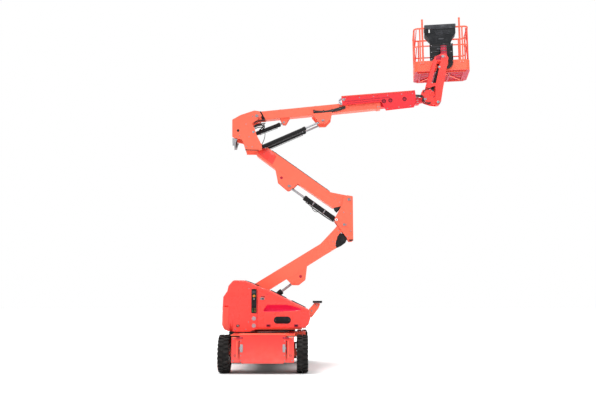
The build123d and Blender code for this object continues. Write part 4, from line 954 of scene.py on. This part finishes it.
def build_upper_arm():
    """Weld seams, lug pin heads, a painted shadow patch by the knuckle end, the guard and the clamped hoses of the
    upper arm.
    """
    trim = bmesh.new()
    painted_shade_patch = [(-150, 4830), (92, 4706), (205, 4600), (120, 4410), (-90, 4562), (-215, 4680)]
    for sign, y in both_sides(ARM_HALF):
        pin_end(trim, FOLD_EYE, sign, y + sign * 6, 30)
        flat_disc(trim, (320, y, 4108), sign, 32, 2, 2)
        weld_bead(trim, (215, y, 4300), (690, y, 3985), 3.6)
        weld_bead(trim, (1395, y, 3778), (1470, y, 3470), 4.2)
        # a darker red patch by the knuckle end: painted shadow
        prism(trim, painted_shade_patch, y - sign, y + sign * 2.5, 3, 1)
        face_bolts(trim, sign, y, [(1520, 3640), (1600, 3560), (0, 4730), (-70, 4650)], 8)
    finish_mesh("upper_arm_trim", trim, [orange, zinc, shade_red, hood_orange], "upper_arm")
    outline = [(1482, 3436), (1504, 3384), (1548, 3345), (1620, 3420), (1682, 3500), (1655, 3482),
               (1560, 3455)]
    build_guard("upper_arm", outline, 88, 6, (1535, 3358), 32, 4, (12, 180, 10))
    # hoses clamped along the top of the arm, inside its width
    clamps = bmesh.new()
    start = Vector((1400, 0, 3792))
    end = Vector((85, 0, 4744))
    direction = (end - start).normalized()
    above = Y_AXIS.cross(direction).normalized()
    turn = Matrix.Rotation(atan2(-direction.z, direction.x), 3, "Y")
    for step in range(6):
        place = start + direction * (100 + 280 * step) + above * 10
        box(clamps, place, (40, 120, 22), 5, 0, turn)
        hex_bolt(clamps, place + above * 11, above, 7)
    finish_mesh("upper_arm_clamps", clamps, [dark_steel, zinc], "upper_arm")
    run = [(start + direction * 20, 8), (start + direction * 800, 11), (start + direction * 1200, 11),
           (end - direction * 20, 8)]
    for number in range(4):
        hose("upper_arm_hose_%d" % number, [point + above * rise + Vector((0, 28 * number - 42, 0))
                                            for point, rise in run], 9, "upper_arm")


def build_upper_knuckle():
    """Pin heads, plugs, edge trims and the hose bundle of the upper knuckle."""
    trim = bmesh.new()
    for sign, y in both_sides(extent("upper_knuckle")[1].y - 5):
        pin_end(trim, PIVOT["boom_lift"], sign, y + sign * 5, 34)
        lathe(trim, across_from(PIVOT["upper_knuckle_level"], y), (0, sign, 0),
              [(0, 12), (30, 12), (34, 8), (62, 6), (66, 0)], 40)
        flat_disc(trim, across_from(PIVOT["level_barrel_swing"], y + sign * 5), sign, 28, 3, 1)
        flat_disc(trim, (-646, y, 5154), sign, 30, 2, 2)
        face_bolts(trim, sign, y, [(-470, 5300), (-330, 5480), (-610, 5040), (-400, 5010), (-330, 4780),
                                   (-455, 4790)], 10)
        prism(trim, [(-484, 4704), (-180, 4699), (-176, 4712), (-478, 4718)], y - sign, y + sign * 7, 2, 2)
        weld_bead(trim, (-690, y - sign * 16, 5060), (-690, y - sign * 16, 5340), 5)
    finish_mesh("upper_knuckle_trim", trim, [orange, zinc, black_rubber], "upper_knuckle")
    flap = bmesh.new()
    low, high = extent("knuckle_flap")
    bolts(flap, [(low.x, y, high.z - 30) for y in (-140, 0, 140)], (-1, 0, 0), 10)
    box(flap, (low.x - 2, 0, high.z - 30), (6, 360, 40), 2, 2)
    for row in range(5):
        box(flap, (low.x - 1, 0, low.z + 20 + 24 * row), (4, 350, 8), 2)
    cheek = [(-772, 4985), (-660, 4962), (-690, 4890), (-702, 4815), (-765, 4808)]
    for sign, y in both_sides(206):
        prism(flap, cheek, y, y + sign * 10, 2, 3)
        face_bolts(flap, sign, y + sign * 10, [(-745, 4955), (-700, 4945), (-735, 4850)], 7)
    finish_mesh("knuckle_flap_trim", flap, [black_rubber, zinc, grey_paint], "upper_knuckle")
    bundle = [
        (70, [(-300, 5300), (-230, 5345), (-120, 5360), (-60, 5330), (-80, 5280), (-170, 5215)]),
        (112, [(-330, 5260), (-250, 5310), (-150, 5330), (-90, 5300), (-110, 5240), (-190, 5180)]),
        (154, [(-300, 5330), (-260, 5375), (-200, 5400), (-130, 5410), (-60, 5420)]),
    ]
    for number, (out, run) in enumerate(bundle):
        for hand, sign in HANDS:
            hose("knuckle_hose_%d_%s" % (number, hand), [(x, sign * out, z) for x, z in run], 11,
                 "upper_knuckle")
    feed = [(-60, 0, 5205), (-45, -10, 5100), (-65, 0, 4990), (-110, 12, 4900), (-150, 10, 4830)]
    for out in (85, 60):
        hose("level_feed_%d" % out, [(x, shift - out, z) for x, shift, z in feed], 6, "upper_knuckle")


# ---------------------------------------------------------------- main boom
def build_boom():
    """Collar bolts, root cover, fan plate welds, stops, and the side hoses with straps of the base boom."""
    trim = bmesh.new()
    front = 2560
    for sign in SIDES:
        axis = (0, sign, 0)
        collar = [on_boom(front - inset, sign * 112, height) for inset in (68, 22) for height in (-70, 70)]
        bolts(trim, collar, axis, 9)
        bolts(trim, [on_boom(front - 45, y, sign * 112) for y in (-60, 60)], BOOM_UP * sign, 9)
        face_y = sign * (BOOM_HALF + 1)
        weld_bead(trim, on_boom(1040, face_y, -100), on_boom(1460, face_y, -100), 5, 11.9)
        pin_end(trim, BOOM_EYE, sign, sign * 190, 26)
        flat_disc(trim, across_from(LEVEL_EYE, sign * 56), sign, 24, 4, 1)
        box(trim, on_boom(-285, sign * (BOOM_HALF + 3), 0), (55, 8, 170), 3, 2, BOOM_TURN)
        bolts(trim, [on_boom(-285, sign * (BOOM_HALF + 7), height) for height in (-60, 60)], axis, 8)
    box(trim, on_boom(-330, 0, 20), (12, 186, 140), 4, 3, BOOM_TURN)
    # carrier of the chain's fixed end, and the stops on top of the boom
    box(trim, on_boom(1780, -109, 20), (120, 16, 60), 4, 0, BOOM_TURN)
    for distance in (300, 1100, 1900):
        box(trim, on_boom(distance, 0, BOOM_HALF + 6), (60, 120, 12), 3, 0, BOOM_TURN)
        bolts(trim, [on_boom(distance, y, BOOM_HALF + 12) for y in (-40, 40)], BOOM_UP, 7)
    looks = [orange, zinc, black_rubber, case_plastic]
    finish_mesh("base_boom_trim", trim, looks, "base_boom")
    side_run = [(1035, -106, -12, 0.7), (1110, -116, -22, 0.7), (1200, -116, -48, 0.4),
                (1330, -116, -50, 0.4), (1470, -116, -36, 0.6), (1600, -116, -8, 1.0),
                (1690, -117, 6, 0.8), (1765, -118, 14, 0.6)]
    for number in range(4):
        hose("boom_side_hose_%d" % number, [on_boom(distance, y, height - 19 * number * spread)
                                            for distance, y, height, spread in side_run], 10.5, "base_boom")
    straps = bmesh.new()
    for distance, height in ((1055, -32), (1265, -60), (1460, -55), (1640, -24)):
        box(straps, on_boom(distance, -114, height), (24, 36, 78), 5, 0, BOOM_TURN)
        hex_bolt(straps, on_boom(distance, -132, height), NEAR, 6)
    # rubber band round the boom just ahead of its pivot
    corners = [on_boom(distance, 0, height) for distance, height in
               ((-190, 101), (-140, 101), (-52, -101), (-130, -101))]
    for sign in SIDES:
        prism(straps, [(corner.x, corner.z) for corner in corners], sign * BOOM_HALF, sign * 106, 0, 2)
    finish_mesh("boom_hose_straps", straps, [black_rubber, zinc], "base_boom")
    root_run = [(-330, 50), (-350, 46), (-356, 10), (-350, -30), (-330, -34)]
    for y in (30, 55):
        hose("boom_root_hose_%d" % y, [on_boom(distance, y, height) for distance, height in root_run], 10,
             "base_boom")


def build_chain():
    """The energy chain as separate links round its bend, standing for the plain band."""
    chain = bmesh.new()
    low, high = extent("energy_chain")
    y = (low.y + high.y) / 2
    middle_h = 130
    bend_r = 56
    bend_at = 1700
    link = 46
    places = [(1895 - link * step, middle_h - bend_r, 180.0) for step in range(4)]
    for step in range(5):
        angle = -90 - 36 * (step + 0.5)
        turn = radians(angle)
        places.append((bend_at + bend_r * cos(turn), middle_h + bend_r * sin(turn), angle - 90))
    places += [(bend_at + 20 + link * step, middle_h + bend_r, 0.0) for step in range(34)]
    for distance, height, angle in places:
        turn = BOOM_TURN @ Matrix.Rotation(-radians(angle), 3, "Y")
        centre = on_boom(distance, y, height)
        for side in SIDES:
            box(chain, centre + Vector((0, side * 12.5, 0)), (link + 10, 5.5, 43), 6, 0, turn)
            box(chain, centre + turn @ Vector((0, 0, side * 17)), (18, 26, 5), 2, 0, turn)
            lathe(chain, centre + turn @ Vector((link / 2, 0, 0)) + Vector((0, side * 15, 0)), (0, side, 0),
                  [(8, 0), (7, 1.2), (0, 1.2)], 12, 1)
    piece = finish_mesh("chain_links", chain, [grey_plastic, zinc], "fly_boom")
    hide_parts("energy_chain")


def build_fly_boom():
    """Tray holes, bolts, ribs and a lighter strip along its top edge that is painted highlight, and the end bolts
    and hoses of the fly boom.
    """
    trim = bmesh.new()
    face = -156
    for distance in (2640, 2790, 3110):
        lathe(trim, on_boom(distance, face, 40), NEAR, [(37.5, -7), (37.5, 3), (46, 3), (47, 0)], 36, 2)
        lathe(trim, on_boom(distance, face + 10, 40), NEAR, [(44, 0), (0, 0)], 28, 3)
    bolts(trim, [on_boom(distance, face, 185 - 0.021 * (distance - 1700))
                 for distance in (1780, 2100, 2420, 2740, 3060, 3300)], NEAR, 8)
    bolts(trim, [on_boom(distance, face, height) for distance, height in
                 ((2700, -140), (3220, -130), (2960, -135))], NEAR, 9)
    box(trim, on_boom(2280, face - 1, 118), (1020, 6, 12), 2, 3, BOOM_TURN)
    box(trim, on_boom(2240, face - 1, 70), (860, 6, 8), 2, 3, BOOM_TURN)
    lathe(trim, on_boom(1742, face + 4, 165), NEAR, [(0, 14), (14, 14), (18, 10), (30, 6), (32, 0)], 32, 1)
    for sign in SIDES:
        tip = [on_boom(distance, sign * 78, height) for distance in (3400, 3425) for height in (-50, 0, 50)]
        bolts(trim, tip, (0, sign, 0), 7)
    # an orange strip along the top edge of the shaded tray: painted highlight
    box(trim, on_boom(2500, face - 1, 222), (1600, 6, 16), 3, 4, BOOM_TURN @ Matrix.Rotation(0.021, 3, "Y"))
    finish_mesh("fly_boom_trim", trim, [boom_shaded_red, zinc, black_rubber, shade_red, orange], "fly_boom")
    run = [(3330, -128, 120), (3400, -126, 115), (3480, -118, 110), (3540, -105, 85)]
    for number in range(3):
        points = [on_boom(distance, y, height - 20 * number) for distance, y, height in run]
        hose("tip_hose_%d" % number, points, 9, "fly_boom")


# ---------------------------------------------------------------- jib
def build_jib():
    """Bosses, bolts, hoses and caps of the jib knuckle and the jib."""
    knuckle = bmesh.new()
    slot_turn = Matrix.Rotation(radians(-40), 3, "Y")
    for sign, y in both_sides(68):
        pin_end(knuckle, PIVOT["jib_knuckle_level"], sign, y + sign * 6, 24)
        lathe(knuckle, across_from(JIB_EYE, y), (0, sign, 0),
              [(50, 0), (50, 8), (44, 12), (24, 12), (22, 6), (0, 6)], 36)
        lathe(knuckle, (3680, y, 5865), (0, sign, 0), [(34, 0), (34, 8), (28, 11), (12, 11), (10, 5), (0, 5)])
        box(knuckle, (3775, y, 5985), (60, 4, 22), 2, 2, slot_turn)
        face_bolts(knuckle, sign, y, [(3560, 6110), (3740, 6118), (3570, 5880)], 9)
    finish_mesh("jib_knuckle_trim", knuckle, [shaded_orange, zinc, shade_red], "jib_knuckle")
    arcs = [
        [(3520, 5960), (3500, 5880), (3530, 5815), (3600, 5800), (3680, 5815)],
        [(3530, 6080), (3560, 6150), (3640, 6175), (3720, 6165), (3780, 6120)],
        [(3540, 5990), (3515, 5920), (3545, 5850), (3620, 5830), (3700, 5842)],
    ]
    for number, run in enumerate(arcs):
        hose("jib_knuckle_hose_%d" % number, [(x, -78, z) for x, z in run], 9, "jib_knuckle")
    jib = bmesh.new()
    painted_shade_patch = [(3838, 6850), (3955, 6850), (3972, 6945), (3905, 6955), (3852, 6925)]
    for sign, y in both_sides(90):
        pin_end(jib, PIVOT["jib_lift"], sign, y + sign * 4, 32)
        pin_end(jib, PIVOT["platform_level"], sign, y + sign * 4, 32)
        flat_disc(jib, across_from(PIVOT["jib_barrel_swing"], y + sign * 4), sign, 26, 3, 1)
        weld_bead(jib, (3700, y, 6275), (3975, y, 6275), 3.6)
        weld_bead(jib, (3860, y, 6850), (3980, y, 6850), 3.6)
        # a shaded red patch at the jib's top: painted shade
        prism(jib, painted_shade_patch, y - sign, y + sign * 2, 2, 1)
    finish_mesh("jib_trim", jib, [shaded_orange, zinc, shade_red], "jib_arm")
    for number in range(2):
        shift = 20 * number
        hose("jib_hose_%d" % number, [
            (3860 + shift, 55, 6000), (3905 + shift, 60, 6250), (3955 + shift, 60, 6550),
            (4010 + shift, 58, 6800), (4035 + shift, 55, 6900),
        ], 9, "jib_arm")


# ---------------------------------------------------------------- platform
# Platform pieces are shaped square to the boom, then turned with the platform about its rotator.
ROTATOR = PIVOT["platform_rotate"]
PLATFORM_SPIN = (Matrix.Translation(ROTATOR) @ Matrix.Rotation(radians(-8), 4, "Z")
                 @ Matrix.Translation(-ROTATOR))
CAGE_X = 4010
CAGE_NEAR = 170
CAGE_FAR = 930
CAGE_HALF = 615


def finish_turned(name, mesh_edit, materials, body):
    """finish_mesh for a piece that is turned with the platform."""
    mesh_edit.transform(PLATFORM_SPIN)
    return finish_mesh(name, mesh_edit, materials, body)


def build_platform():
    """Floor tread, toe board rim, underside, post feet, braces and post caps."""
    floor_low, floor_high = extent("platform_floor")
    base = floor_low.z
    rim = floor_high.z
    post_top = extent("platform_cage")[1].z
    mid_y = (CAGE_NEAR + CAGE_FAR) / 2
    half_x = CAGE_HALF + 19
    half_y = (CAGE_FAR - CAGE_NEAR) / 2 + 19
    trim = bmesh.new()
    for column in range(23):
        for row in range(12):
            turn = Matrix.Rotation(radians(45 if (row + column) % 2 else -45), 3, "Z")
            box(trim, (CAGE_X - 552 + 50.2 * column, mid_y - 300 + 54.5 * row, base + 37), (26, 8, 4), 1.8, 3,
                turn, 1)
    for side in SIDES:
        for level, tall in ((rim - 4, 16), (base + 36, 14)):
            box(trim, (CAGE_X, mid_y + side * (half_y - 4), level), (2 * half_x - 190, 14, tall), 5)
            box(trim, (CAGE_X + side * (half_x - 4), mid_y, level), (14, 2 * half_y - 190, tall), 5)
        for x in (-485, 485, -425, 425):
            box(trim, (CAGE_X + x, mid_y + side * (half_y + 2), rim - 45), (46, 8, 75))
            hex_bolt(trim, (CAGE_X + x, mid_y + side * (half_y + 6), rim - 60), (0, side, 0), 7)
    # a dark sheet and ribs under the floor in painted shade, two diagonal braces and a hook
    for x in (CAGE_X - 335, CAGE_X, CAGE_X + 335):
        box(trim, (x, mid_y, base + 26), (280, 600, 6), 2, 2)
        for y in (-180, 0, 180):
            box(trim, (x, mid_y + y, base + 21), (270, 30, 10), 4, 5)
    for start, end in (((30, -300), (500, 280)), ((-50, -280), (-480, 280))):
        start, end = Vector((*start, 0)), Vector((*end, 0))
        run = end - start
        turn = Matrix.Rotation(atan2(run.y, run.x), 3, "Z")
        box(trim, Vector((CAGE_X, mid_y, base + 8)) + (start + end) / 2, (run.length, 32, 16), 4, 0, turn)
    lathe(trim, (CAGE_X + 190, CAGE_NEAR + 100, base + 2), (0, 0, -1),
          [(14, -10), (14, 0), (9, 4), (9, 12), (0, 14)], 20, 4)
    # braces at both ends of the cage in the shaded red copy of the orange, painted shade, and the caps of its tall
    # posts
    for side in SIDES:
        for y_from, z_from, y_to, z_to in ((285, 6940, 185, 7280), (285, 7320, 185, 7710),
                                           (800, 6940, 900, 7280)):
            start = Vector((CAGE_X + side * (CAGE_HALF - 12), y_from, z_from))
            run = Vector((CAGE_X + side * (CAGE_HALF - 50), y_to, z_to)) - start
            lathe(trim, start, run, [(0, 0), (10, 0), (10, run.length), (0, run.length)], 14, 5)
        lathe(trim, (CAGE_X + side * 425, CAGE_NEAR, post_top - 6), UP,
              [(22.2, -20), (23.6, -16), (23.6, 2), (16, 5), (0, 5)], 28)
    finish_turned("platform_trim", trim, [orange, zinc, shade_red, cast_orange, black_rubber, boom_shaded_red],
                  "platform")


def build_console():
    """The platform control box with its tapered foot, ridged lid, joysticks, switches and stop button."""
    low_z, high_z = (corner.z for corner in extent("platform_console"))
    console = bmesh.new()
    x = CAGE_X - 20
    near = CAGE_NEAR - 60
    far = CAGE_NEAR + 225
    y = (near + far) / 2
    depth = far - near
    width = 720
    body_top = high_z - 105
    body_low = low_z + 90
    box(console, (x, y, (body_low + body_top) / 2), (width - 14, depth - 12, body_top - body_low), 18,
        segments=4)
    rings = []
    for z, half_w, y_from, y_to in ((body_low + 6, width / 2 - 16, near + 10, far - 10),
                                    (low_z - 25, width / 2 - 95, near + 16, far - 60),
                                    (low_z - 148, width / 2 - 125, near + 26, CAGE_NEAR - 26)):
        rings.append([console.verts.new((x + shift, ring_y, z)) for shift, ring_y in
                      ((-half_w, y_from), (half_w, y_from), (half_w, y_to), (-half_w, y_to))])
    for upper, lower in zip(rings, rings[1:]):
        for step in range(4):
            following = (step + 1) % 4
            console.faces.new([upper[step], upper[following], lower[following], lower[step]])
    console.faces.new(rings[-1])
    console.faces.new(list(reversed(rings[0])))
    # lid with ridges, edge lip and hinges; a white label space, slots and a drain below it
    box(console, (x, y, high_z - 52), (width, depth, 96), 16, 1, segments=4)
    for row in range(3):
        box(console, (x, near + 1, high_z - 26 - 28 * row), (width - 50, 8, 9))
    for row in range(7):
        box(console, (x, near + 35 + 36 * row, high_z - 3), (width - 80, 12, 8), index=1)
    box(console, (x, near + 3, high_z - 108), (width - 20, 12, 12), index=1)
    for side in SIDES:
        box(console, (x + side * 240, near + 1, high_z - 100), (60, 12, 34), index=1)
    box(console, (x - 250, near + 4, high_z - 165), (26, 6, 78), 2, 3)
    for row in range(4):
        box(console, (x + 50, near + 5, high_z - 170 - 26 * row), (340, 5, 7), 2, 1)
    box(console, (x + 20, near + 18, low_z - 30), (120, 10, 34), 4, 1)
    # controls towards the person
    stick = [(34, 0), (30, 8), (20, 16), (10, 22), (8, 60), (15, 66), (17, 90), (10, 102), (0, 104)]
    for side in SIDES:
        lathe(console, (x + side * 180, far - 4, high_z - 160), Y_AXIS, stick, 28, 4)
    for number in range(6):
        lathe(console, (x - 125 + 50 * number, far - 4, high_z - 235), Y_AXIS,
              [(9, 0), (8, 4), (4, 6), (3, 14), (0, 15)], 14, 2)
    lathe(console, (x, far - 4, high_z - 155), Y_AXIS,
          [(26, 0), (26, 2), (12, 3), (19, 10), (16, 16), (0, 17)], 28, 5)
    looks = [black_plastic, case_plastic, zinc, white_plastic, black_rubber, red_plastic]
    piece = finish_turned("console_box", console, looks, "platform")
    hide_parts("platform_console")


def build_carrier():
    """Ribs, rim and bolts on the black carrier plate under the console, and the hoses down it."""
    top = extent("platform_bracket")[1].z
    foot = 6935
    middle = (foot + top) / 2
    x = 4005
    face = CAGE_NEAR - 31.3
    carrier = bmesh.new()
    for side in SIDES:
        box(carrier, (x + side * 257, face - 10, middle), (14, 28, top - foot), 4)
        face_bolts(carrier, -1, face, [(x + side * 225, z) for z in (foot + 35, top - 35, middle)], 8)
    for rise in (100, 210, 320):
        box(carrier, (x, face - 3, foot + rise), (420, 10, 14), 4, 2)
    box(carrier, (x - 60, face - 8, foot + 265), (80, 22, 50), 6, 2)
    hub = ROTATOR + Vector((0, 0, 24.3))
    lathe(carrier, hub, UP, [(52, 0), (52, 10), (44, 16), (0, 16)], 36, 3)
    bolts(carrier, [hub + Vector((*spot, 16)) for spot in circle(6, 38)], UP, 6)
    looks = [black_paint, zinc, case_plastic, dark_steel]
    finish_turned("carrier_trim", carrier, looks, "platform")
    run = [(4165, 7330), (4180, 7160), (4235, 6960), (4262, 6850), (4235, 6765), (4150, 6715)]
    for number in range(5):
        points = [PLATFORM_SPIN @ Vector((along - 20 * number, face - 23, z)) for along, z in run]
        hose("platform_hose_%d" % number, points, 11.5, "platform")


def build_gate_and_rotator():
    """Gate latch and hinge collars, and the rotator's flanges."""
    gate = bmesh.new()
    low, high = extent("platform_gate")
    x = CAGE_X + CAGE_HALF
    stile = CAGE_NEAR + 174
    box(gate, (x - 18, stile, high.z - 160), (20, 30, 80), 5)
    box(gate, (x - 20, stile + 40, high.z - 140), (12, 80, 16), 5, 1)
    for level in (100, 320, 540):
        lathe(gate, (x, stile, low.z + level), UP, [(14.2, 0), (16.5, 3), (16.5, 12), (14.2, 15)], 24)
    finish_turned("gate_latch", gate, [zinc, yellow_plastic], "platform_gate")
    rotator = bmesh.new()
    for z in (7075, 7175):
        lathe(rotator, (ROTATOR.x, 0, z), UP, [(70.2, 0), (74.5, 3), (74.5, 17), (70.2, 20)], 40)
    for out_x, out_y in circle(8, 1):
        hex_bolt(rotator, (ROTATOR.x + out_x * 70.2, out_y * 70.2, 7130), (out_x, out_y, 0), 6)
    finish_mesh("rotator_trim", rotator, [dark_steel, zinc], "platform_support")


# ---------------------------------------------------------------- stage, in metres
FLOOR_SPAN = 60
FLOOR_ALBEDO = 0.93
SKY_LOW = 0.08
SKY_HIGH = 1.12
SUN_LEVEL = 2.0
SUN_ANGLE = 34
SUN_RUN = (0.45, 0.30, -1.0)     # the way the key light travels
FILL_PLACE = (3.0, -10.0, 9.0)   # from the middle of the machine
FILL_SIZE = 6.0
FILL_POWER = 420
CAMERA_PLACE = (0.688, -14.2, 1.50)
CAMERA_TILT = 8.5
CAMERA_LENS = 38.96


def build_floor():
    """A pale floor that takes the machine's shadow."""
    material, _, shader = new_material("studio_floor", 0.9, specular=0.0)
    shader.inputs["Base Color"].default_value = (FLOOR_ALBEDO, FLOOR_ALBEDO, FLOOR_ALBEDO, 1)
    mesh = bpy.data.meshes.new("studio_floor")
    corners = [(a * FLOOR_SPAN, b * FLOOR_SPAN, 0) for a, b in ((-1, -1), (1, -1), (1, 1), (-1, 1))]
    mesh.from_pydata(corners, [], [(0, 1, 2, 3)])
    mesh.materials.append(material)
    plane = bpy.data.objects.new("studio_floor", mesh)
    bpy.context.scene.collection.objects.link(plane)


def build_sky():
    """A world that is bright above and dark at the horizon, and looks white itself and in reflections."""
    world = bpy.data.worlds.new("surround")
    bpy.context.scene.world = world
    world.use_nodes = True
    tree = world.node_tree
    surround = tree.nodes["Background"]
    surround.inputs["Color"].default_value = (1, 1, 1, 1)
    height = height_of(tree, shader_node(tree, "TexCoord").outputs["Generated"])
    level = shader_node(tree, "MapRange", {"Value": height, "From Min": 0.10, "From Max": 0.75,
                                           "To Min": SKY_LOW, "To Max": SKY_HIGH},
                        interpolation_type="SMOOTHSTEP")
    tree.links.new(level.outputs["Result"], surround.inputs["Strength"])
    white = shader_node(tree, "Background", {"Color": (1, 1, 1, 1), "Strength": 1.0})
    rays = shader_node(tree, "LightPath").outputs
    seen = calculated(tree, "MAXIMUM", rays["Is Camera Ray"], rays["Is Glossy Ray"])
    seen = calculated(tree, "MAXIMUM", seen, rays["Is Transmission Ray"])
    mix = shader_node(tree, "MixShader", {0: seen, 1: surround.outputs["Background"],
                                          2: white.outputs["Background"]})
    tree.links.new(mix.outputs["Shader"], tree.nodes["World Output"].inputs["Surface"])


def place(name, data, location, rotation):
    """An object in the scene that holds a lamp or a camera."""
    holder = bpy.data.objects.new(name, data)
    holder.location = location
    holder.rotation_euler = rotation
    bpy.context.scene.collection.objects.link(holder)
    return holder


def aim(direction):
    """The rotation of a lamp that shines along a direction."""
    return Vector(direction).to_track_quat("-Z", "Y").to_euler()


def build_lamps():
    """A broad key light from above and a fill lamp from the photograph's side."""
    sun = bpy.data.lights.new("key_lamp", "SUN")
    sun.angle = radians(SUN_ANGLE)
    sun.energy = SUN_LEVEL
    place("key_lamp", sun, (0, 0, 0), aim(SUN_RUN))
    fill = bpy.data.lights.new("fill_lamp", "AREA")
    fill.shape = "SQUARE"
    fill.size = FILL_SIZE
    fill.energy = FILL_POWER
    middle = Vector((SLEW_X + 1.4, 0, 3.6))
    place("fill_lamp", fill, middle + Vector(FILL_PLACE), aim(-Vector(FILL_PLACE)))


def place_camera():
    """The photograph's view: low, square to the boom and tilted up."""
    camera = bpy.data.cameras.new("photo_camera")
    camera.sensor_width = 36
    camera.lens = CAMERA_LENS
    bpy.context.scene.camera = place("photo_camera", camera, Vector(CAMERA_PLACE) + Vector((SLEW_X, 0, 0)),
                                     (radians(90 + CAMERA_TILT), 0, 0))


dress_frame()
lug = lug_template()
for corner, side in (("rear_left", -1), ("rear_right", 1), ("front_left", -1), ("front_right", 1)):
    build_tyre(corner, lug)
    build_hub(corner, side)
for build in (build_chassis_trim, build_step, build_hoods, build_turret_trim, build_control_panel,
              build_rest_and_batteries, build_cylinders, build_lower_arm, build_middle_knuckle,
              build_upper_arm, build_upper_knuckle, build_boom, build_chain, build_fly_boom, build_jib,
              build_platform, build_console, build_carrier, build_gate_and_rotator, build_floor, build_sky,
              build_lamps, place_camera):
    build()
bpy.context.scene.view_settings.view_transform = "Standard"
